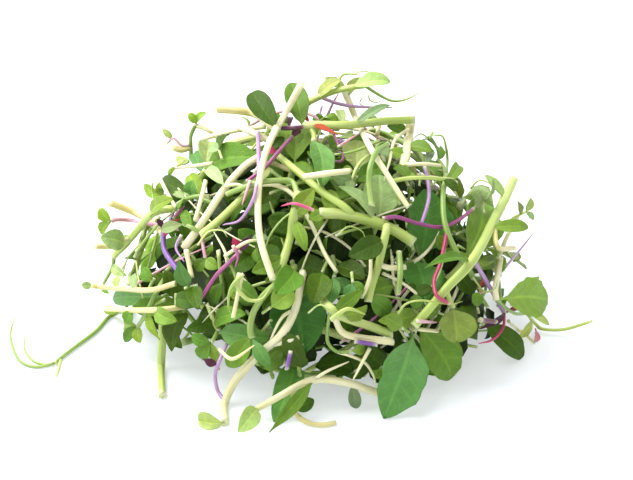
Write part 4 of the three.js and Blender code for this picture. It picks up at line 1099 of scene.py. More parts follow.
@dataclass(frozen=True)
class StemShape:
    """How a stem's surface departs from a plain taper.

    swell, uneven, ridge, hollow and narrowing are shares of its radius, and slant is a slope.
    step, thin, swell_reach, wave_length, streak_length, cut_reach and lowest are millimetres.
    sides holds how many sides a stem has where it is thicker than so many millimetres.
    """

    step: float = 1.5
    swell: float = 0.08
    swell_reach: float = 1.6
    uneven: float = 0.04
    wave_length: float = 7.0
    slow_wave: float = 9.0
    ridge: float = 0.06
    ridges: int = 4
    thin: float = 1.35
    narrowing: float = 0.65
    hollow: float = 0.35
    slant: float = 0.5
    streak_length: float = 10.0
    cut_reach: float = 0.9
    lowest: float = 0.02
    sides: tuple = ((2.2, 12), (1.5, 8), (0.0, 6))
    most_sides: int = 12


def stem_patch(limb: PlacedLimb, shape: StemShape, rng: np.random.Generator) -> Patch:
    """A stem's surface: a ridged ring carried along a smooth curve, with both ends closed.

    The radius tapers evenly, times 1 + uneven * two sines of the way along, times a bell-shaped
    swelling at each leaf. Round the ring it is times 1 + ridge * cos(4 * angle). Each ring is
    square to the curve, and turned from one direction that is as square to the whole stem as can
    be. A thin stem without leaves is bare: it narrows to a closed tip, and has no cut end there.

    Args:
        limb: The limb.
        shape: How its surface departs from a plain taper.
        rng: The draws that shape it.

    Returns:
        The closed surface.
    """
    chords = np.linalg.norm(np.diff(limb.points, axis=0), axis=1).sum()
    count = max(math.ceil(chords / shape.step), 3) + 1
    share = np.linspace(0, 1, count)
    path = curve_through(limb.points, share)
    radius = (limb.first + (limb.last - limb.first) * share) / 2
    path[:, 2] = np.maximum(path[:, 2], radius)
    bare = not limb.leaves and limb.last <= shape.thin
    wave = rng.uniform(0, FULL_TURN, 2)
    quick = np.sin(share * chords / shape.wave_length + wave[0])
    slow = np.sin(share * shape.slow_wave + wave[1])
    radius = radius * (1 + shape.uneven * quick * slow)
    for leaf in limb.leaves:
        near = np.linalg.norm(path - leaf.base, axis=1)
        radius = radius * (1 + shape.swell * np.exp(-((near / shape.swell_reach) ** 2)))
    if bare:
        radius = radius * (1 - shape.narrowing * share**3)
    tangent = unit(np.gradient(path, axis=0))
    reference = np.linalg.svd(tangent, full_matrices=True)[2][-1]
    side = unit(reference - tangent * (tangent @ reference)[:, None])
    other = np.cross(tangent, side)
    sides = next(count for over, count in shape.sides if limb.first > over)
    sides = min(sides, shape.most_sides)
    angle = np.arange(sides) / sides * 2 * math.pi
    lobes = 1 + shape.ridge * np.cos(shape.ridges * angle + wave[0])
    ring = (
        side[:, None] * (np.cos(angle) * lobes)[None, :, None]
        + other[:, None] * (np.sin(angle) * lobes)[None, :, None]
    ) * radius[:, None, None]
    slant = np.zeros(count)
    slant[0], slant[-1] = rng.uniform(-shape.slant, shape.slant, 2)
    if not bare:
        ring = ring + tangent[:, None] * (ring @ reference)[..., None] * slant[:, None, None]
    points = (path[:, None] + ring).reshape(-1, 3)
    deep = shape.hollow * radius[[0, -1]]
    centres = np.array([path[0] + tangent[0] * deep[0], path[-1] - tangent[-1] * deep[1]])
    if limb.rooted:
        centres[0] = path[0]
    if bare:
        centres[1] = path[-1] + tangent[-1] * radius[-1]
    low, high = count * sides, count * sides + 1
    k = np.arange(sides)
    after, top = (k + 1) % sides, (count - 1) * sides
    triangles = np.vstack(
        [
            np.stack([np.full(sides, low), after, k], -1),
            np.stack([np.full(sides, high), top + k, top + after], -1),
        ]
    )
    tint = stem_tint(limb, share, rng)
    tint = np.vstack([np.repeat(tint, sides, axis=0), tint[[0, -1]]])
    ends = np.minimum(share, 1 if bare else 1 - share) * chords
    if limb.rooted:
        ends = np.full(count, FAR_FROM_CUT) if bare else (1 - share) * chords
    own = np.stack(
        [
            np.tile(np.abs(k / sides - 0.5) * 2, count),
            np.repeat(share * chords / shape.streak_length, sides),
            np.repeat(np.exp(-((ends / shape.cut_reach) ** 2)), sides),
        ],
        -1,
    )
    last = [0.5, chords / shape.streak_length, 0 if bare else 1]
    own = np.vstack([own, [[0.5, 0, 1], last]])
    points = np.vstack([points, centres])
    points[:, 2] = np.maximum(points[:, 2], shape.lowest)
    phase = np.full(len(points), rng.uniform(0, STEM_PHASES))
    faces = ring_faces(count, sides)
    return Patch(points, faces, triangles, tint, own, phase, Finish.STEM)


FADE_AT_START = (0, 0.75)
FADE_AT_END = (0, 0.5)
FADE_POWER = 0.8
BANDS = (5, 14)
CUT_FADE = 0.25
BAND_FADE = 0.08
STEM_LIGHT = (0.88, 1.08)
LEAF_LIGHT = (0.8, 1.2)
LEAF_WARMTH = 0.12
STALK_FADE = 0.5
UNDERSIDE_FADE = 0.55


def stem_tint(limb: PlacedLimb, share: np.ndarray, rng: np.random.Generator) -> np.ndarray:
    """A stem's colour at shares of its way: its own, fading towards one end, a little uneven."""
    start, stop = rng.uniform(*FADE_AT_START), rng.uniform(*FADE_AT_END)
    if not limb.rooted:
        start = min(start + CUT_FADE, 1)
    fade = start + (stop - start) * share**FADE_POWER
    bands = np.sin(share * rng.uniform(*BANDS) + rng.uniform(0, 6))
    fade = np.clip(fade + BAND_FADE * bands, 0, 1)
    light = rng.uniform(*STEM_LIGHT)
    return (limb.tone.own + (limb.tone.faded - limb.tone.own) * fade[:, None]) * light


def sheet_faces(grid: np.ndarray) -> np.ndarray:
    """The four-sided faces of a grid of points' numbers."""
    corners = [grid[:-1, :-1], grid[:-1, 1:], grid[1:, 1:], grid[1:, :-1]]
    return np.stack(corners, -1).reshape(-1, 4)


@dataclass(frozen=True)
class LeafGrain:
    """How finely leaves are made: their rows and the places of their columns."""

    rows: int
    columns: tuple


@dataclass(frozen=True)
class LeafRelief:
    """How a leaf's sheet departs from its solid's, on a leaf of 12 mm or so.

    ripple, quick_ripple and slow_ripple shape the wavy edge; vein_slant is how far a side vein
    runs on towards the tip on its way to the edge. fold, groove and rib are millimetres; groove
    and rib reach so far across as shares of the half width. curl and sway are shares of the
    length. floor is how high the lowest leaves lie over the table, in millimetres. evenness is
    the share of even spacing in the rows, which are closer at both ends. stalk is its least half
    width, what each millimetre of leaf adds, and its most. crest is how far across the lobes
    are longest. blade_from is a share of the stalk.
    """

    ripple: float = 0.05
    slow_ripple: float = 17.0
    quick_ripple: float = 31.0
    quick_share: float = 0.7
    vein_slant: float = 1.3
    fold: float = 0.12
    groove: float = 0.3
    groove_reach: float = 0.1
    rib: float = 0.7
    rib_reach: float = 0.16
    curl: tuple = (-0.09, 0.05)
    curl_from: float = 0.6
    curl_gain: float = 6.0
    sway: float = 0.04
    floor: float = 0.05
    whole_width: float = 12.0
    most_size: float = 1.2
    evenness: float = 0.45
    stalk: tuple = (0.55, 0.02, 0.9)
    crest: float = 0.55
    crest_drop: float = 0.2
    body_reach: float = 0.15
    fold_middle: float = 0.6
    blade_from: float = 0.6
    blade_reach: float = 0.12


RELIEF = LeafRelief()
FINE_COLUMNS = (0.07, 0.26, 0.52, 0.78, 0.95, 1)
FINE_GRAIN = LeafGrain(17, (*(-place for place in FINE_COLUMNS[::-1]), 0, *FINE_COLUMNS))
PLAIN_GRAIN = LeafGrain(7, (-1, -0.6, 0, 0.6, 1))
LEAF_PHASES = 9


@dataclass(frozen=True)
class LeafEdge:
    """What every leaf's half width has in common, by shares of its length beyond the stalk.

    A two-lobed leaf is widest at widest, and narrower by lobe_narrowing at its tip. A pointed
    leaf is drawn in from point_from on. A tooth goes from the first to the sum of its widths.
    The stalk runs on as a thin rib and narrows from rib_from on.
    """

    widest: float = 0.72
    lobe_full: float = 0.75
    lobe_narrowing: float = 0.3
    point_from: float = 0.7
    point_reach: float = 0.3
    point_gain: float = 6.0
    teeth: float = 5.5
    tooth: tuple = (0.88, 0.16)
    rib_from: float = 0.9
    rib_reach: float = 0.1
    rib_narrowing: float = 0.6


EDGE = LeafEdge()


def half_width(form: Form, s: np.ndarray, stalk: float) -> np.ndarray:
    """A leaf's half width along it, as a share of its widest.

    Beyond the stalk x runs from 0 to 1, and the half width is sin(pi * x ** early) ** full, drawn
    in towards a pointed tip. A two-lobed leaf widens as a quarter of a sine instead, and keeps
    most of its width at its notched tip. Teeth make a saw of it.

    Args:
        form: The leaf's form.
        s: Shares of its length.
        stalk: The stalk's half width.

    Returns:
        The half widths.
    """
    x = np.clip((s - form.stalk) / (1 - form.stalk), 0, 1)
    if form.lobed:
        wide = np.sin(math.pi / 2 * np.minimum(x / EDGE.widest, 1)) ** EDGE.lobe_full
        beyond = np.clip((x - EDGE.widest) / (1 - EDGE.widest), 0, 1)
        wide = wide * (1 - EDGE.lobe_narrowing * beyond**2)
    else:
        wide = np.sin(math.pi * x**form.early) ** form.full
        beyond = np.clip((x - EDGE.point_from) / EDGE.point_reach, 0, 1)
        wide = wide * (1 - EDGE.point_gain * form.point * beyond**2)
    if form.margin is Margin.TOOTHED:
        wide = wide * (EDGE.tooth[0] + EDGE.tooth[1] * (x * EDGE.teeth % 1))
    beyond = np.clip((s - EDGE.rib_from) / EDGE.rib_reach, 0, 1)
    return np.maximum(wide, stalk * (1 - EDGE.rib_narrowing * beyond))


def leaf_patch(leaf: PlacedLeaf, grain: LeafGrain, rng: np.random.Generator) -> Patch:
    """A leaf's closed surface: two faces over one bowed, cupped and rippled sheet.

    The sheet rises as its solid does, with smooth ripples, a groove along the midrib, a tip that
    curls, and low folds between the side veins. The faces stand half the thickness each side of
    it and meet along the edge; near the stalk the thickness is the stalk's.

    Args:
        leaf: The leaf.
        grain: How finely it is made.
        rng: The draws that shape it.

    Returns:
        The closed surface.
    """
    form = FORMS[leaf.form]
    length, along, across = leaf.axes
    t = np.linspace(0, 1, grain.rows)[:, None]
    s = RELIEF.evenness * t + (1 - RELIEF.evenness) * (1 - np.cos(math.pi * t)) / 2
    v = np.array(grain.columns)[None]
    least, gain, most = RELIEF.stalk
    stalk = min(least + gain * length, most) / leaf.width
    spread = half_width(form, s, stalk) * leaf.width / 2
    cut = form.notch * (1 - abs(v))
    if form.lobed:
        crest = RELIEF.crest
        inside = (1 - abs(v) / crest) ** 2 * form.notch
        outside = ((abs(v) - crest) / (1 - crest)) ** 2 * RELIEF.crest_drop
        cut = np.where(abs(v) < crest, inside, outside)
    reach = s * (1 - cut * s**3)
    phase = rng.uniform(0, FULL_TURN, 4)
    body = np.clip((s - form.stalk) / RELIEF.body_reach, 0, 1)
    wave = form.wave if form.margin is not Margin.SMOOTH else RELIEF.ripple
    ripple = wave * np.sin(s * RELIEF.slow_ripple + phase[0] + np.sign(v) * phase[1])
    quick = np.sin(s * RELIEF.quick_ripple + phase[2] + np.sign(v) * 2)
    ripple = ripple + wave * RELIEF.quick_share * quick
    rise = 4 * form.arch * length * reach * (1 - reach) + spread * v * v * (form.cup + ripple)
    veins = s * form.veins - abs(v) * RELIEF.vein_slant
    fold = abs(np.sin(veins * math.pi)) - RELIEF.fold_middle
    small = min(leaf.width / RELIEF.whole_width, RELIEF.most_size)
    rise = rise + RELIEF.fold * small * fold * body * (1 - v * v)
    rise = rise - RELIEF.groove * small * np.exp(-((v / RELIEF.groove_reach) ** 2)) * body
    if not form.flat:
        tip = np.clip(reach - RELIEF.curl_from, 0, 1)
        rise = rise + rng.uniform(*RELIEF.curl) * length * tip**2 * RELIEF.curl_gain
    sway = rng.uniform(-RELIEF.sway, RELIEF.sway) * length * np.sin(math.pi * reach)
    sheet = (
        leaf.base + along * (reach * length)[..., None]
        + across * (v * spread + sway)[..., None] + leaf.face * rise[..., None]
    )
    blade = form.thickness * np.sqrt(1 - v**4)
    stem = stalk * leaf.width * np.sqrt(1 - v**2)
    start = form.stalk * RELIEF.blade_from
    thick = stem + (blade - stem) * np.clip((s - start) / RELIEF.blade_reach, 0, 1)
    rib = RELIEF.rib * small * (1 - s) * np.exp(-((v / RELIEF.rib_reach) ** 2)) * body
    lower = sheet - leaf.face * (thick / 2 + rib)[..., None]
    upper = sheet + leaf.face * (thick / 2)[..., None]
    floor = RELIEF.floor
    if form.flat:
        lower[..., 2] = floor
        upper[..., 2] = floor + thick
    upper[..., 2] = np.maximum(upper[..., 2], floor + thick)
    lower[..., 2] = np.maximum(lower[..., 2], floor)
    for face in (upper, lower):
        face[0], face[-1] = sheet[0], sheet[-1]
        face[:, 0], face[:, -1] = sheet[:, 0], sheet[:, -1]
        face[..., 2] = np.maximum(face[..., 2], floor)
    rows, columns = upper.shape[:2]
    top = np.arange(rows * columns).reshape(rows, columns)
    under = top.copy()
    inner = np.arange((rows - 2) * (columns - 2)).reshape(rows - 2, -1)
    under[1:-1, 1:-1] = rows * columns + inner
    quads = [sheet_faces(top), sheet_faces(under)[:, [0, 3, 2, 1]]]
    points = np.vstack([upper.reshape(-1, 3), lower[1:-1, 1:-1].reshape(-1, 3)])
    flat = np.stack(np.broadcast_arrays(s, v, np.zeros_like(spread + v)), -1)
    own = np.vstack([flat.reshape(-1, 3), (flat[1:-1, 1:-1] + [0, 0, 1]).reshape(-1, 3)])
    tint = leaf_tint(leaf, own, rng)
    turns = math.floor(rng.uniform(0, LEAF_PHASES))
    phase = own[:, 0] * form.veins - abs(own[:, 1]) * RELIEF.vein_slant + turns
    none = np.empty((0, 3), int)
    return Patch(points, np.vstack(quads), none, tint, own, phase, Finish.LEAF)


def leaf_tint(leaf: PlacedLeaf, own: np.ndarray, rng: np.random.Generator) -> np.ndarray:
    """The colour of each point of a leaf: varied, and lighter near the stalk and underneath."""
    light = rng.uniform(*LEAF_LIGHT)
    warm = rng.uniform(-LEAF_WARMTH, LEAF_WARMTH)
    colour = leaf.tone.own * light * np.array([1 + warm, 1, 1 - warm])
    pale = leaf.tone.faded * light
    share = STALK_FADE * (1 - own[:, 0]) ** 3 + UNDERSIDE_FADE * own[:, 2]
    return colour + (pale - colour) * np.clip(share, 0, 1)[:, None]


class Tissue:
    """Gathers patches and makes one mesh piece of them."""

    def __init__(self, name: str, slot: str) -> None:
        """Starts an empty piece with its name, and keeps the name of a material slot, which the
        piece is not given.
        """
        self.name = name
        self.slot = slot
        self.patches: list[Patch] = []

    def add_limb(
        self, limb: PlacedLimb, shape: StemShape, grain: LeafGrain, rng: np.random.Generator
    ) -> None:
        """Adds a limb's stem and leaves."""
        self.patches.append(stem_patch(limb, shape, rng))
        for leaf in limb.leaves:
            self.patches.append(leaf_patch(leaf, grain, rng))

    def gathered(self, what: str) -> np.ndarray:
        """One array of what every patch has by this name."""
        return np.concatenate([getattr(patch, what) for patch in self.patches])

    def make(self, materials: Sequence[bpy.types.Material]) -> bpy.types.Object:
        """Makes the piece, in metres, riding on the heap's body.

        Args:
            materials: A material for each finish, in order.

        Returns:
            The piece.
        """
        sizes = [len(patch.points) for patch in self.patches]
        starts = np.cumsum([0] + sizes[:-1])
        kinds = [[p.quads for p in self.patches], [p.triangles for p in self.patches]]
        finishes = [patch.finish.value for patch in self.patches]
        finish = np.concatenate([np.repeat(finishes, [len(f) for f in kind]) for kind in kinds])
        quads, triangles = (
            np.vstack([faces + start for faces, start in zip(kind, starts)]) for kind in kinds
        )
        points = self.gathered("points") * MM
        corners = np.concatenate([quads.ravel(), triangles.ravel()])
        counts = np.repeat([4, 3], [len(quads), len(triangles)])
        begins = np.cumsum(counts) - counts
        mesh = bpy.data.meshes.new(self.name)
        mesh.vertices.add(len(points))
        mesh.vertices.foreach_set("co", points.astype(np.float32).ravel())
        mesh.loops.add(len(corners))
        mesh.loops.foreach_set("vertex_index", corners.astype(np.int32))
        mesh.polygons.add(len(begins))
        mesh.polygons.foreach_set("loop_start", begins.astype(np.int32))
        for material in materials:
            mesh.materials.append(material)
        mesh.polygons.foreach_set("material_index", finish.astype(np.int32))
        mesh.polygons.foreach_set("use_smooth", np.ones(len(begins), bool))
        mesh.update(calc_edges=True)
        tint = np.insert(np.clip(self.gathered("tint"), 0, 1), 3, 1, axis=1)
        for name, kind, part, values in (
            ("tint", "FLOAT_COLOR", "color", tint),
            ("own", "FLOAT_VECTOR", "vector", self.gathered("own")),
            ("phase", "FLOAT", "value", self.gathered("phase")),
        ):
            attribute = mesh.attributes.new(name, kind, "POINT")
            attribute.data.foreach_set(part, values.astype(np.float32).ravel())
        mesh.validate()
        piece = bpy.data.objects.new(self.name, mesh)
        bpy.context.scene.collection.objects.link(piece)
        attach(piece, BODY)
        LOG.info("%s: %d points, %d faces", self.name, len(points), len(begins))
        return piece


@dataclass
class Dressing:
    """What every part of the dressing shares: the heap's room, its finishes and its draws."""

    room: Room
    materials: Sequence[bpy.types.Material]
    shape: StemShape = StemShape()
    grain: LeafGrain = FINE_GRAIN
    seed: int = 7

    def __post_init__(self) -> None:
        """Starts the draws."""
        self.rng = np.random.default_rng(self.seed)

    def make_piece(self, name: str, slot: str, limbs: Iterable[PlacedLimb]) -> bpy.types.Object:
        """Makes one piece of limbs with their leaves, each built before the next is drawn."""
        tissue = Tissue(name, slot)
        for limb in limbs:
            tissue.add_limb(limb, self.shape, self.grain, self.rng)
        return tissue.make(self.materials)


# ---- finishes
class Graph:
    """A material's nodes, written as calls: each adds a node and gives back what comes out."""

    def __init__(self, name: str) -> None:
        """Starts an empty material."""
        self.material = bpy.data.materials.new(name)
        self.material.use_nodes = True
        self.tree = self.material.node_tree
        self.tree.nodes.clear()

    def node(self, kind: str, inputs: dict, **settings: object) -> bpy.types.Node:
        """Adds a node.

        Args:
            kind: Its type, without Blender's ShaderNode.
            inputs: What goes into its sockets, by name or place: another's output, or a value.
            settings: Its own settings.

        Returns:
            The node.
        """
        node = self.tree.nodes.new("ShaderNode" + kind)
        for name, value in settings.items():
            setattr(node, name, value)
        for name, value in inputs.items():
            if isinstance(value, bpy.types.NodeSocket):
                self.tree.links.new(value, node.inputs[name])
            else:
                node.inputs[name].default_value = value
        return node

    def math(self, operation: str, a: Socket, b: Socket = 0.0) -> bpy.types.NodeSocket:
        """One step of arithmetic."""
        return self.node("Math", {0: a, 1: b}, operation=operation).outputs[0]

    def scaled(self, value: Socket, by: float, more: float) -> bpy.types.NodeSocket:
        """A value times one number, plus another."""
        return self.math("ADD", self.math("MULTIPLY", value, by), more)

    def fade(self, value: Socket, start: float, stop: float) -> bpy.types.NodeSocket:
        """1 where value is at start, smoothly down to 0 where it is at stop."""
        inputs = {"Value": value, 1: start, 2: stop, 3: 1.0, 4: 0.0}
        return self.node("MapRange", inputs, interpolation_type="SMOOTHSTEP").outputs[0]

    def blend(self, share: Socket, a: Socket, b: Socket, how: str = "MIX") -> bpy.types.NodeSocket:
        """Colour a with a share of colour b."""
        settings = {"data_type": "RGBA", "blend_type": how}
        return self.node("Mix", {0: share, 6: a, 7: b}, **settings).outputs[2]

    def noise(self, at: Socket, scale: float, detail: float = 2.0) -> bpy.types.NodeSocket:
        """Uneven grey of 0 to 1, with so many lumps to a unit of length."""
        inputs = {"Vector": at, "Scale": scale, "Detail": detail}
        return self.node("TexNoise", inputs).outputs[0]

    def grey(self, value: Socket) -> bpy.types.NodeSocket:
        """A grey of a value, which may go over 1."""
        return self.node("CombineColor", {0: value, 1: value, 2: value}).outputs[0]

    def attribute(self, name: str) -> bpy.types.Node:
        """What the mesh says at each point."""
        return self.node("Attribute", {}, attribute_name=name)

    def parts(self, vector: Socket) -> bpy.types.Node:
        """A vector's three parts."""
        return self.node("SeparateXYZ", {0: vector})

    def surface(self) -> tuple:
        """What the mesh and the heap say: tint, own coordinates in parts, phase and place."""
        tint = self.attribute("tint").outputs["Color"]
        own = self.parts(self.attribute("own").outputs["Vector"]).outputs
        phase = self.attribute("phase").outputs["Fac"]
        return tint, own, phase, self.node("TexCoord", {}).outputs["Object"]

    def finish(self, shader: Socket) -> bpy.types.Material:
        """Ends the material in a shader."""
        self.node("OutputMaterial", {"Surface": shader})
        return self.material


@dataclass(frozen=True)
class LeafFinish:
    """A satin leaf, lit through, with a midrib, side veins, a net of fine veins and mottling.

    Side veins run where phase, the leaf's own count of veins, is whole. Edges are where a vein
    starts and stops fading out. relief is in metres, and scales are lumps to a metre. Roughness
    is the first number times the mottling, plus the second.
    """

    name: str
    vein_colour: tuple = (0.42, 0.56, 0.2, 1)
    vein_light: tuple = (1.9, 1.7, 1.7, 1)
    vein_share: float = 0.4
    vein_tint: float = 0.06
    midrib_edge: tuple = (0.03, 0.13)
    side_edge: tuple = (0.015, 0.1)
    side_end: tuple = (0.65, 0.98)
    side_share: float = 0.6
    net_edge: float = 0.16
    net_scale: float = 950.0
    net_share: float = 0.1
    mottle_scale: float = 320.0
    mottle: float = 0.55
    mottle_middle: float = 0.52
    roughness: tuple = (0.22, 0.32)
    relief: float = 0.00018
    strength: float = 0.7
    mottle_height: float = 1.2
    net_depth: float = 0.5
    side_depth: float = 0.8
    lit_through: float = 0.36
    light_through: tuple = (1.3, 1.3, 0.5, 1)
    specular: float = 0.28

    def make(self) -> bpy.types.Material:
        """Makes the material.

        Returns:
            The material.
        """
        g = Graph(self.name)
        tint, own, phase, place = g.surface()
        across = g.math("ABSOLUTE", own[1])
        midrib = g.fade(across, *self.midrib_edge)
        side = g.fade(g.math("PINGPONG", phase, 0.5), *self.side_edge)
        side = g.math("MULTIPLY", side, g.fade(across, *self.side_end))
        veins = g.math("MAXIMUM", midrib, g.math("MULTIPLY", side, self.side_share))
        cells = g.node(
            "TexVoronoi", {"Vector": place, "Scale": self.net_scale}, feature="DISTANCE_TO_EDGE"
        ).outputs[0]
        net = g.fade(cells, 0.0, self.net_edge)
        mottle = g.noise(place, self.mottle_scale, 3)
        shade = g.scaled(mottle, self.mottle, 1 - self.mottle * self.mottle_middle)
        colour = g.blend(1.0, tint, g.grey(shade), "MULTIPLY")
        vein = g.blend(1.0, tint, self.vein_light, "MULTIPLY")
        vein = g.blend(self.vein_tint, vein, self.vein_colour)
        colour = g.blend(g.math("MULTIPLY", net, self.net_share), colour, vein)
        colour = g.blend(g.math("MULTIPLY", veins, self.vein_share), colour, vein)
        lumps = g.math("MULTIPLY", mottle, self.mottle_height)
        height = g.math("SUBTRACT", lumps, g.math("MULTIPLY", net, self.net_depth))
        height = g.math("SUBTRACT", height, g.math("MULTIPLY", side, self.side_depth))
        bump = g.node(
            "Bump", {"Height": height, "Distance": self.relief, "Strength": self.strength}
        )
        rough = g.scaled(mottle, *self.roughness)
        skin = g.node(
            "BsdfPrincipled",
            {
                "Base Color": colour, "Roughness": rough, "Normal": bump.outputs[0],
                "Specular IOR Level": self.specular,
            },
        )
        through = g.blend(1.0, colour, self.light_through, "MULTIPLY")
        glow = g.node("BsdfTranslucent", {"Color": through, "Normal": bump.outputs[0]})
        mixed = g.node(
            "MixShader", {0: self.lit_through, 1: skin.outputs[0], 2: glow.outputs[0]}
        )
        return g.finish(mixed.outputs[0])


@dataclass(frozen=True)
class StemFinish:
    """A juicy stem: pale streaks along it, a soft inner glow, and fibrous pale cut ends."""

    name: str
    streak_colour: tuple = (0.82, 0.84, 0.54, 1)
    streak_share: float = 0.55
    streak_tint: float = 0.14
    streak_edge: tuple = (0.48, 0.6)
    streaks_round: float = 6.0
    streaks_along: float = 0.3
    fleck_scale: float = 1400.0
    shade: float = 0.7
    end_colour: tuple = (0.74, 0.76, 0.46, 1)
    end_share: float = 0.3
    roughness: tuple = (0.2, 0.26)
    relief: float = 0.00012
    strength: float = 0.6
    fleck_height: float = 0.35
    glow: float = 0.3
    glow_colour: tuple = (1.0, 0.85, 0.35)
    glow_depth: float = 0.0028

    def make(self) -> bpy.types.Material:
        """Makes the material.

        Returns:
            The material.
        """
        g = Graph(self.name)
        tint, own, phase, place = g.surface()
        round_it = g.math("MULTIPLY", own[0], self.streaks_round)
        along = g.math("MULTIPLY", own[1], self.streaks_along)
        at = g.node("CombineXYZ", {0: round_it, 1: along, 2: phase}).outputs[0]
        streak = g.noise(at, 1.0, 3)
        fleck = g.noise(place, self.fleck_scale, 2)
        shade = g.scaled(streak, self.shade, 1 - self.shade * 0.5)
        colour = g.blend(1.0, tint, g.grey(shade), "MULTIPLY")
        pale = g.math("SUBTRACT", 1.0, g.fade(streak, *self.streak_edge))
        pale = g.math("MULTIPLY", pale, self.streak_share)
        tinted = g.blend(self.streak_tint, tint, self.streak_colour)
        colour = g.blend(pale, colour, tinted)
        end = g.math("MULTIPLY", own[2], g.math("ADD", fleck, self.end_share))
        colour = g.blend(end, colour, self.end_colour)
        height = g.math("ADD", streak, g.math("MULTIPLY", fleck, self.fleck_height))
        bump = g.node(
            "Bump", {"Height": height, "Distance": self.relief, "Strength": self.strength}
        )
        rough = g.scaled(fleck, *self.roughness)
        skin = g.node(
            "BsdfPrincipled",
            {
                "Base Color": colour, "Roughness": rough, "Normal": bump.outputs[0],
                "Subsurface Weight": self.glow, "Subsurface Radius": self.glow_colour,
                "Subsurface Scale": self.glow_depth,
            },
        )
        return g.finish(skin.outputs[0])


# ---- undergrowth
@dataclass(frozen=True)
class Outline:
    """How wide the heap looks from in front, by how high on it: left and right edges."""

    heights: tuple = (-50, -42, -32, -16, 8, 22, 37, 48)
    left: tuple = (-34, -46, -66, -72, -67, -56, -44, -16)
    right: tuple = (36, 60, 76, 76, 70, 54, 38, 27)

    def edges(self, w: float) -> tuple:
        """The left and right edge at a height."""
        return tuple(np.interp(w, self.heights, side) for side in (self.left, self.right))

    def draw(self, rng: np.random.Generator, lowest: float) -> tuple:
        """Draws a place within the outline and not under lowest: how far right and up it is."""
        while True:
            u = rng.uniform(min(self.left), max(self.right))
            w = rng.uniform(max(lowest, self.heights[0]), self.heights[-1])
            low, high = self.edges(w)
            if low < u < high:
                return u, w

    def keep(self, u: float, w: float) -> tuple:
        """The nearest place at or within the outline, moved up or down first, then sideways."""
        w = min(max(w, self.heights[0]), self.heights[-1])
        low, high = self.edges(w)
        return min(max(u, low), high), w


def one_of(options: Sequence, rng: np.random.Generator) -> object:
    """The next draw among options."""
    return options[int(rng.integers(len(options)))]


@dataclass(frozen=True)
class Sprig:
    """A kind of small sprig that fills the mound between the shoots that have solids.

    A sprig in front lies so many millimetres out of the mound, or in it where depth is negative.
    One behind lies on a shell of the mound, at a bearing and a climb in degrees. Leaves are so
    far apart as shares of the stem, splay and turn are angles, and slim is width over length.
    """

    name: str
    slot: str
    count: int
    depth: tuple
    stems: tuple
    tones: tuple
    forms: tuple
    behind: bool = False
    shell: float = 1.0
    length: tuple = (24, 48)
    thick: tuple = (0.9, 1.7)
    leaf: tuple = (8, 15)
    slim: tuple = (0.5, 0.75)
    leaves: tuple = (3, 6)
    rise: tuple = (-2.0, 4.0)
    lowest: float = -60.0
    bearings: tuple = (2, 180)
    climbs: tuple = (2, 85)
    bend: float = 0.5
    splay: tuple = (0.4, 1.3)
    places: tuple = (0, 0.33, 0.67, 1)
    uneven: tuple = (-2, 2)
    apart: float = 0.27
    stagger: float = 0.06
    turn: float = 0.6
    taper: float = 0.8

    def plan(self, rng: np.random.Generator) -> list[LimbPlan]:
        """Draws one sprig: a stem over the mound, and leaves in pairs towards its end.

        Args:
            rng: The draws that shape it.

        Returns:
            The plan of its only limb.
        """
        depth = rng.uniform(*self.depth)
        heading = rng.uniform(0, 2 * math.pi)
        bend = rng.uniform(-self.bend, self.bend)
        length = rng.uniform(*self.length)
        u, w = OUTLINE.draw(rng, self.lowest)
        bearing = math.radians(rng.uniform(*self.bearings))
        start = MOUND.on_shell(depth, bearing, math.radians(rng.uniform(*self.climbs)))

        def spot(share: float, way: float, reach: float, out: float) -> Spot:
            """The spot at a share of the stem, then a reach along a way, so far out."""
            turn = heading + bend * share
            if self.behind:
                root = MOUND.step_over(depth, start, turn, length * (share - 0.5))
                return MOUND.step_over(depth + out / MOUND.half_width, root, way, reach)
            across = u + math.cos(turn) * length * (share - 0.5) + math.cos(way) * reach
            up = w + math.sin(turn) * length * (share - 0.5) + math.sin(way) * reach
            return MOUND.within(MOUND.seat(*OUTLINE.keep(across, up), depth + out), self.shell)

        spots = [spot(place, 0, 0, rng.uniform(*self.uneven)) for place in self.places]
        thick = rng.uniform(*self.thick)
        leaves = []
        for k in range(int(rng.integers(*self.leaves))):
            share = min(1.0, 1 - self.apart * (k // 2) - rng.uniform(0, self.stagger))
            way = heading + (1 if k % 2 else -1) * rng.uniform(*self.splay)
            size = rng.uniform(*self.leaf)
            leaves.append(
                LeafPlan(
                    share, spot(share, way, size, rng.uniform(*self.rise)),
                    size * rng.uniform(*self.slim), one_of(self.forms, rng),
                    one_of(self.tones, rng), rng.uniform(-self.turn, self.turn),
                )
            )
        tone = one_of(self.stems, rng)
        return [LimbPlan((), tone, thick, thick * self.taper, spots, leaves)]


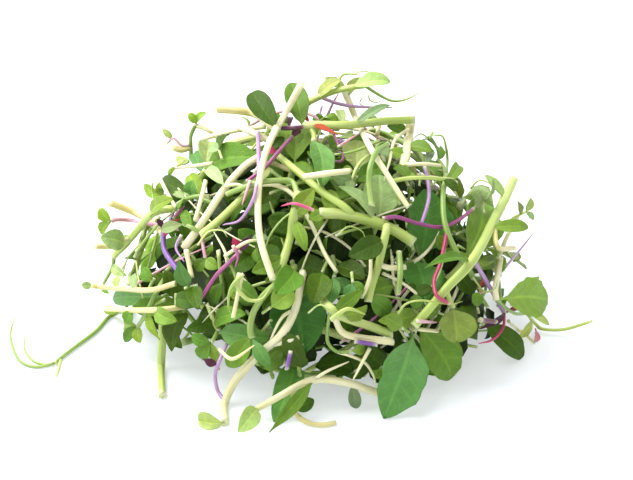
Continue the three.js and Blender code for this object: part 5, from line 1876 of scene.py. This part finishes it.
OUTLINE = Outline()
GREEN_STEMS = (Tone.GREEN, Tone.LIME, Tone.GREEN, Tone.CREAM)
PALE_STEMS = (Tone.CREAM, Tone.LIME, Tone.CREAM, Tone.STRAW)
VIVID_STEMS = (Tone.MAUVE, Tone.MAGENTA, Tone.ROSE, Tone.CREAM)
# The kinds that lie deeper in the mound take darker leaf tones, the near-black green most of all:
# painted shade for the inside of the heap.
SPRIGS = (
    Sprig(
        "back_deep_leaves", "leaf_dark", 90, (0.45, 0.78), (Tone.GREEN, Tone.MID),
        (Tone.DEEP, Tone.DARK, Tone.DARK, Tone.MID), ("oval", "round", "broad"),
        behind=True, leaf=(14, 24), slim=(0.65, 0.9), leaves=(4, 7),
    ),
    Sprig(
        "inner_leaves", "leaf_dark", 50, (-72, -44), (Tone.GREEN, Tone.MID),
        (Tone.DEEP, Tone.DARK), ("round", "broad"), leaf=(16, 26), slim=(0.7, 0.95),
        leaves=(4, 7), shell=0.8,
    ),
    Sprig(
        "deep_leaves", "leaf_dark", 170, (-44, -18), (Tone.GREEN, Tone.MID, Tone.GREEN),
        (Tone.DEEP, Tone.DARK, Tone.DEEP, Tone.DEEP, Tone.DARK),
        ("oval", "round", "broad"), leaf=(12, 22), slim=(0.65, 0.9), leaves=(4, 7), shell=0.86,
    ),
    Sprig(
        "deep_stems", "stem_green", 30, (-26, -10), (Tone.LIME, Tone.GREEN, Tone.LIME),
        (Tone.DARK, Tone.MID), ("oval",), thick=(2, 3.2), length=(28, 52), leaves=(0, 2),
    ),
    Sprig(
        "mid_leaves", "leaf_mid", 120, (-26, -9), GREEN_STEMS,
        (Tone.DARK, Tone.DEEP, Tone.DARK, Tone.MID, Tone.BRIGHT), ("oval", "round", "broad"),
        leaf=(9, 18), slim=(0.55, 0.85), shell=0.95,
    ),
    Sprig(
        "fine_stems", "stem_cream", 40, (-14, -4), VIVID_STEMS + PALE_STEMS,
        (Tone.MID, Tone.DARK, Tone.DARK), ("small", "oval"), thick=(0.6, 1.1),
        leaf=(4, 8), slim=(0.5, 0.8), leaves=(2, 4),
    ),
    Sprig(
        "outer_leaves", "leaf_bright", 90, (-11, -3), GREEN_STEMS,
        (Tone.DARK, Tone.MID, Tone.BRIGHT, Tone.MID, Tone.PALE), ("oval", "round", "small"),
        length=(14, 30), leaf=(5, 10), slim=(0.6, 0.9), shell=1.05,
    ),
    Sprig(
        "top_leaves", "leaf_pale", 60, (-12, -3), GREEN_STEMS + PALE_STEMS,
        (Tone.MID, Tone.BRIGHT, Tone.PALE, Tone.PALE, Tone.BUD), ("round", "small", "oval"),
        length=(12, 26), leaf=(4, 8), slim=(0.65, 0.95), shell=1.03, lowest=12.0,
    ),
    Sprig(
        "back_pea_sprigs", "leaf_bright", 90, (0.78, 0.98), PALE_STEMS,
        (Tone.MID, Tone.BRIGHT, Tone.BRIGHT, Tone.DARK, Tone.PALE), ("oval", "small", "round"),
        behind=True, thick=(1, 2.4), leaf=(9, 18),
    ),
    Sprig(
        "back_seedlings", "leaf_pale", 70, (0.84, 1.0), PALE_STEMS + VIVID_STEMS,
        (Tone.MID, Tone.BRIGHT, Tone.PALE, Tone.BUD), ("heart", "round", "small", "lance"),
        behind=True, leaf=(6, 12), slim=(0.6, 0.95),
    ),
)
FILL_GAP = 0.12
FILL_LIFT = 3.0
FILL_TRIES = (
    (0, 0, 1), (-2, 0, 1), (2, 0.4, 1), (-4, -0.4, 1), (0, -0.8, 0.8), (-5, 0.8, 0.8),
    (2, 0, 0.65), (-3, 0, 0.65),
)


@dataclass
class Undergrowth(Dressing):
    """The sprigs that fill the mound, in a piece for each kind."""

    shape: StemShape = StemShape(step=3.2, most_sides=5)
    grain: LeafGrain = PLAIN_GRAIN
    seed: int = 28

    def build(self) -> None:
        """Grows each kind in turn in the room that is left, and makes its piece."""
        self.room.gap = FILL_GAP
        grower = Grower(self.room, FILL_TRIES, FILL_LIFT)
        for sprig in SPRIGS:
            plans = (sprig.plan(self.rng) for _ in range(sprig.count))
            limbs = (limb for plan in plans for limb in grower.grow(plan) if limb)
            self.make_piece(sprig.name, sprig.slot, limbs)


# ---- fine details
# Slim stems, curls and small leaves that lie over the shoots with solids. Each is a limb as in
# SHOOTS, but for where it grows from, because it always has a cut end.
DETAILS = [
  ["slim_stems", "stem_cream", [
    ["cream", 2.2, 2, [[-5, 23.3], [4, 24.6], [12.4, 25.5]]],
    ["lime", 1.7, 1.5, [[27, 21.5, -3], [33, 22.7], [40, 23], [50, 22.3, -1]],
      [0.4, 30, 27.5, 4, "mid small"], [0.9, 52, 18, 4, "dark small"]],
    ["cream", 1.5, 1.4, [[20, -3, -2], [19.8, -13.3], [16.8, -21.5, -2]]],
    ["cream", 1.8, 1.7, [[-48.3, -3.7], [-46.1, -14.1, -1]]],
    ["cream", 1.6, 1.5, [[-27.8, -14], [-30.9, -28.9]]],
    ["cream", 1.4, 1.3, [[-34, -6, -3], [-26, -0.8], [-20, 0, -2]]],
    ["cream", 1.5, 1.4, [[33, 27.8, -1], [39.8, 28.1], [46, 27.5, -1]]],
    ["cream", 2, 1.9, [[-42, 37.5, -3], [-30, 40.5], [-18.5, 42, -2]]],
    ["cream", 2.4, 2.3, [[-29, 42, -2], [-23, 39.5], [-17, 36.5, -4]]],
    ["cream", 1.5, 1.4, [[-41, 22], [-43, 14], [-45, 7, -1]]],
    ["cream", 1.5, 1.4, [[-57.5, 22], [-55, 17], [-52, 12, -2]]],
    ["cream", 1.4, 1.3, [[19.8, -40, -1], [13.5, -51.8]]],
    ["cream", 1.3, 1.1, [[71, -30, -2], [75, -34], [80.5, -38.5]], [1, 81, -33, 4, "rose small"]],
    ["rose", 1.3, 1.2, [[37, -30, -2], [44.5, -30.5, -2]]],
    ["cream", 1.5, 1.4, [[37.5, -33, -2], [45, -33.8, -2]]],
    ["cream", 1.8, 1.6, [[74.5, 9], [71, 2], [67, -7, -3]]],
    ["lime", 1.2, 0.9, [[67, 2, -2], [72, 7.5], [77.5, 10.5]], [1, 79.5, 15.5, 3.5, "bud small"],
      [0.8, 74.5, 14.5, 3, "ash lance"], [1, 80.5, 7.5, 3, "pale small"]],
    ["green", 2.1, 1.9, [[30.5, -4.4, -3], [31, -12, -2], [30.2, -20, -3]]],
    ["green", 2.2, 1.9, [[20.4, 12.5], [19.5, 21, 1], [20, 27.5, 1], [22.5, 33, 0],
      [26.5, 35.5, -1]]],
    ["straw", 1.4, 1.3, [[-36, -40.5, -2], [-31, -44], [-23, -39, -1]]]]],
  ["coloured_stems", "stem_mauve", [
    ["mauve", 1.6, 1.4, [[-21.6, 40], [-21.4, 30], [-21, 21, -1]]],
    ["mauve", 1.5, 1.2, [[-22, 21], [-23.5, 14.8], [-28.3, 7.4], [-34.6, 5.6, -2]]],
    ["rose", 1.3, 1.1, [[-24.5, 22], [-25.8, 18], [-27.5, 13]]],
    ["violet", 1.5, 1.4, [[-9.5, -41], [-11, -48]]],
    ["violet", 1.7, 1.5, [[14, -37.5, -1], [22.5, -38.8]]],
    ["mauve", 1, 0.9, [[2, 49.5], [0.6, 44]]],
    ["mauve", 1.2, 1, [[4, 46, -1], [6, 50.5], [8.3, 54.5]]],
    ["mauve", 1.4, 1.2, [[0, 53.5], [8, 50.5], [16, 49.3], [28, 49]]],
    ["magenta", 1.1, 1, [[5.5, 41.5], [8.5, 34, -1]]],
    ["rose", 1.1, 1, [[8, 34.5, -1], [16, 39.6]]],
    ["magenta", 1.3, 1.1, [[-53, 8, -1], [-49, 12.5]], [1, -46, 16, 2.2, "hot lance"],
      [1, -51.5, 16.5, 2.2, "wine lance"], [0.6, -45.5, 11, 2, "hot lance"]],
    ["wine", 2, 1.6, [[60.5, -29.6, -1], [66.4, -30.3, -1]]],
    ["wine", 1.8, 1.6, [[-15, 41.3, -1], [-9, 41.5], [-4.5, 41.8, -1]],
      [0.4, -9, 46, 3, "wine small"]],
    ["wine", 1.1, 1, [[5, 29.5, -1], [9, 29, 0], [10, 31.5, 0], [8, 33, -1]]],
    ["hot", 1.4, 1, [[-1, 11, -3], [-8, 13.5, -2], [-13, 12.6, -2]]],
    ["mauve", 1.1, 0.8, [[70, -10], [75, -4], [80.5, 2.8]]],
    ["mauve", 1.2, 1, [[-50, 2], [-52, -3], [-49, -8]]],
    ["magenta", 1.2, 1, [[-31, -2], [-29, -6], [-30, -10]]]]],
  ["curls", "stem_green", [
    ["lime", 1.9, 1.2, [[-28.5, -12.5, -1], [-29.2, -17.5], [-25.5, -22], [-20.5, -22],
      [-17.2, -18, -1]]],
    ["green", 1.4, 1, [[-27, -12.5], [-31.5, -17.5], [-32.6, -24], [-30.5, -29]]],
    ["lime", 1.9, 1.2, [[5.5, -29.5], [11.5, -25.5], [18, -27.5]]],
    ["lime", 1, 0.7, [[30.2, -27.4, -1], [33.1, -23.7], [39, -22.4], [49.4, -23.7], [54, -22.7]]],
    ["green", 0.7, 0.5, [[-60.8, 21.5, 1], [-60.5, 16], [-58.5, 12], [-55, 11.5]]],
    ["green", 0.7, 0.4, [[41, 38], [38.5, 39.3], [36, 37.5], [35.5, 35.5]]],
    ["green", 0.6, 0.4, [[41, 37.5], [38.8, 36.8], [37, 34.5], [37.5, 33]]],
    ["lime", 0.8, 0.5, [[57, 19, -1], [60, 22], [64, 21], [66, 17.5]]],
    ["green", 0.6, 0.4, [[13, 61], [17, 62.5], [21, 61.5], [23, 59.5]]],
    ["green", 0.7, 0.5, [[19, 54], [20, 51.5], [23, 51], [24, 53]]],
    ["green", 0.6, 0.4, [[17, 53], [16, 50.5], [18, 49.5]]],
    ["lime", 0.8, 0.5, [[-44, -2, 0], [-40, 3], [-35, 3.5], [-33, 1]]],
    ["green", 0.8, 0.5, [[58, -14, -2], [62, -19], [66, -18], [67, -14.5]]],
    ["lime", 0.8, 0.6, [[-3, -27], [1, -24], [5, -25.5]]],
    ["green", 0.8, 0.5, [[8, 2, 0], [12, 5], [17, 3], [18, -1]]],
    ["green", 0.7, 0.5, [[-66, -2], [-70, -7], [-71.5, -13], [-70, -17]]]]],
  ["loose_leaves", "leaf_mid", [
    ["green", 1.2, 1, [[43, 40, -2], [41.8, 37.5]], [1, 40.3, 28, 5, "mid oval"]],
    ["green", 1.1, 1, [[43, 20, -4], [45, 23, -1]], [1, 45.5, 29, 5.4, "dark round"]],
    ["green", 1.2, 0.9, [[34, 20, -3], [32, 24.5]], [1, 29, 27, 3.6, "mid round"],
      [1, 34.5, 29.5, 3.6, "mid round"], [0.5, 35.5, 25, 3.2, "bright round"]],
    ["green", 1, 0.8, [[38, 20, -4], [38.5, 25, -1]], [1, 36, 31.5, 3.4, "dark round"],
      [1, 42, 31, 3.4, "mid round"]],
    ["lime", 1.2, 0.9, [[62, 10, -3], [61.5, 14.5]], [1, 57.6, 27.5, 3.4, "bud lance"],
      [1, 65, 23, 3, "pale lance"]],
    ["green", 1.8, 1.4, [[60, -20, -6], [63.5, -25, -4]], [1, 76, -44.5, 9.5, "mid oval", 0.3]],
    ["green", 1.6, 1.3, [[50, -30, -8], [54, -34, -6]], [1, 69, -45.5, 11, "dark broad", -0.2, 0]],
    ["green", 1.4, 1.1, [[34, -34, -4], [31.5, -32.5]], [1, 25.5, -28.5, 6, "bright oval"]],
    ["green", 1.1, 0.9, [[60, -27, -2], [59.6, -25]], [1, 58.5, -19.5, 4.6, "mid round"]],
    ["rust", 1.2, 0.9, [[61.5, -19.5], [60, -17.5]], [1, 61.5, -14.5, 2.6, "rust small"]],
    ["green", 1.2, 1, [[-20, -27, -2], [-17, -25]], [1, -8.5, -18.5, 8, "bright round", -0.5]],
    ["green", 1.4, 1.2, [[-60, -14, -5], [-62, -18, -3]], [1, -74, -21.5, 6.5, "blue oval"],
      [1, -57.5, -6.5, 5, "dark oval"], [0.4, -64, -10, 5, "mid oval"]],
    ["green", 1.4, 1.2, [[-52, -20, -4], [-52, -24, -2]], [1, -50, -35.5, 6, "dark oval"],
      [1, -62.5, -34, 5, "blue oval"], [0.4, -44, -24, 6, "dark oval"]],
    ["green", 1.6, 1.2, [[-44, -17, -6], [-49, -18, -3]], [1, -57, -12, 6, "dark oval"],
      [1, -60, -25, 7, "mid oval"], [0.4, -43, -29, 8, "dark oval"],
      [0.6, -51, -7, 6, "blue lance"]],
    ["green", 1.4, 1.1, [[-56, -22, -5], [-60, -24, -3]], [1, -73, -26, 6, "dark oval"],
      [1, -70, -33.5, 5.5, "mid oval"], [0.5, -55, -33, 6, "blue oval"]],
    ["green", 1.4, 1.1, [[4, -8, -10], [2, -12, -8]], [1, -1.5, -24, 9, "dark oval"],
      [0.5, 8, -19, 7, "dark oval"]],
    ["green", 1.2, 1, [[31, 13, -8], [29, 17, -6]], [1, 26.5, 26, 7, "dark oval"]],
    ["green", 1, 0.8, [[72, -24], [72.8, -23]], [1, 75.3, -21, 3, "wine small"]],
    ["green", 1, 0.8, [[-71, -9, -1], [-72, -11]], [1, -75.5, -14, 3.8, "bud round"]],
    ["lime", 1.1, 0.9, [[-35, 30, -3], [-36, 33]], [1, -31.5, 41.5, 6, "dark round"],
      [1, -39.5, 34.5, 4.5, "pale small"]],
    ["green", 1, 0.8, [[-24.5, 41, -1], [-25, 42.5]], [1, -27.5, 45.5, 2.6, "pale small"]],
    ["green", 1.2, 1, [[13, -12, -3], [13.5, -16]], [1, 11.5, -22, 4.5, "blue small"],
      [0.8, 17, -20, 4, "mid small"]],
    ["green", 1.2, 1, [[52, -2, -3], [55, -3.5]], [1, 68, -6, 5, "bright oval", 0.5]]]],
]
DETAIL_SINK = 1.0
DETAIL_LIFT = 14.0


@dataclass
class FineDetails(Dressing):
    """The slim stems, curls and small leaves over the heap, in a piece for each sort."""

    shape: StemShape = StemShape(step=1.2, swell=0.06)
    seed: int = 11

    def build(self) -> None:
        """Lays each over what is there, and makes the pieces."""
        self.room.gap = FILL_GAP
        grower = Grower(self.room, TRIES, DETAIL_LIFT)
        for name, slot, rows in DETAILS:
            plans = (seen_plans([[(), *row]], DETAIL_SINK) for row in rows)
            limbs = [limb for plan in plans for limb in grower.grow(plan)]
            if None in limbs:
                LOG.info("%s: %d without room", name, limbs.count(None))
            self.make_piece(name, slot, filter(None, limbs))


# ---- studio
@dataclass(frozen=True)
class Studio:
    """A white table under a white sky, a soft lamp, and the camera. Lengths are metres."""

    floor_reach: float = 4.0
    floor_lines: int = 9
    floor_drop: float = 0.00005
    floor_shade: tuple = (0.52, 0.55, 0.57, 1)
    floor_tint: tuple = (0.97, 1, 1, 1)
    floor_glow: float = 0.47
    floor_roughness: float = 0.8
    sky: float = 0.82
    lamp_size: float = 0.8
    lamp_power: float = 13.5
    lamp_at: tuple = (-0.38, 0.12, 0.68)
    aim: tuple = (0.0, 0.0, 0.036)
    eye: float = 0.6
    lens: float = 92.2
    film: float = 36.0

    def lay_floor(self) -> bpy.types.Object:
        """Lays a flat square of table.

        Returns:
            The floor.
        """
        line = np.linspace(-self.floor_reach, self.floor_reach, self.floor_lines)
        x, y = np.meshgrid(line, line)
        points = np.stack([x, y, np.full(x.shape, -self.floor_drop)], -1).reshape(-1, 3)
        n = np.arange(x.size).reshape(x.shape)
        mesh = bpy.data.meshes.new("floor")
        mesh.from_pydata(points, [], sheet_faces(n))
        floor = bpy.data.objects.new("floor", mesh)
        bpy.context.scene.collection.objects.link(floor)
        g = Graph("white_table")
        skin = g.node(
            "BsdfPrincipled",
            {
                "Base Color": self.floor_shade, "Roughness": self.floor_roughness,
                "Emission Color": self.floor_tint, "Emission Strength": self.floor_glow,
            },
        )
        mesh.materials.append(g.finish(skin.outputs[0]))
        return floor

    def point_at_heap(self, data: bpy.types.ID, at: Vector) -> bpy.types.Object:
        """Stands a lamp or camera at a place, turned to the middle of the heap."""
        holder = bpy.data.objects.new(data.name, data)
        bpy.context.scene.collection.objects.link(holder)
        holder.location = at
        way = Vector(self.aim) - holder.location
        holder.rotation_euler = way.to_track_quat("-Z", "Y").to_euler()
        return holder

    def light(self) -> None:
        """Lights the scene with a white sky and one large soft lamp."""
        world = bpy.data.worlds.new("sky")
        bpy.context.scene.world = world
        world.use_nodes = True
        background = world.node_tree.nodes["Background"]
        background.inputs["Color"].default_value = (1, 1, 1, 1)
        background.inputs["Strength"].default_value = self.sky
        lamp = bpy.data.lights.new("soft_lamp", "AREA")
        lamp.size = self.lamp_size
        lamp.energy = self.lamp_power
        self.point_at_heap(lamp, Vector(self.lamp_at))
        bpy.context.scene.view_settings.view_transform = "Standard"

    def place_camera(self) -> None:
        """Places the camera where the heap is seen from in front, looking down on it."""
        camera = bpy.data.cameras.new("camera")
        camera.lens = self.lens
        camera.sensor_width = self.film
        at = Vector(self.aim) + Vector(MOUND.towards) * self.eye
        bpy.context.scene.camera = self.point_at_heap(camera, at)


# ---- the heap
@dataclass
class SolidShoots(Dressing):
    """The shoots that have solids, each as one fine piece in its solid's place."""

    slots: dict = field(default_factory=dict)

    def build(self) -> None:
        """Lays the shoots out as their solids are, and makes a piece of each."""
        for name, limbs in solid_shoots(Grower(self.room)).items():
            piece = self.make_piece("fine_" + name, self.slots[name], limbs)
            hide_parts(name)


def main() -> None:
    """Builds the heap and its studio."""
    logging.basicConfig(level=logging.INFO, format="%(message)s")
    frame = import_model()
    studio = Studio()
    studio.place_camera()
    slots = {part["node"]: part["material_slot"] for part in frame["record"]["subparts"]}
    materials = [StemFinish("stem_tissue").make(), LeafFinish("leaf_tissue").make()]
    room = Room(GAP)
    SolidShoots(room, materials, slots=slots).build()
    FineDetails(room, materials).build()
    Undergrowth(room, materials).build()
    studio.lay_floor()
    studio.light()


if __name__ == "__main__":
    main()
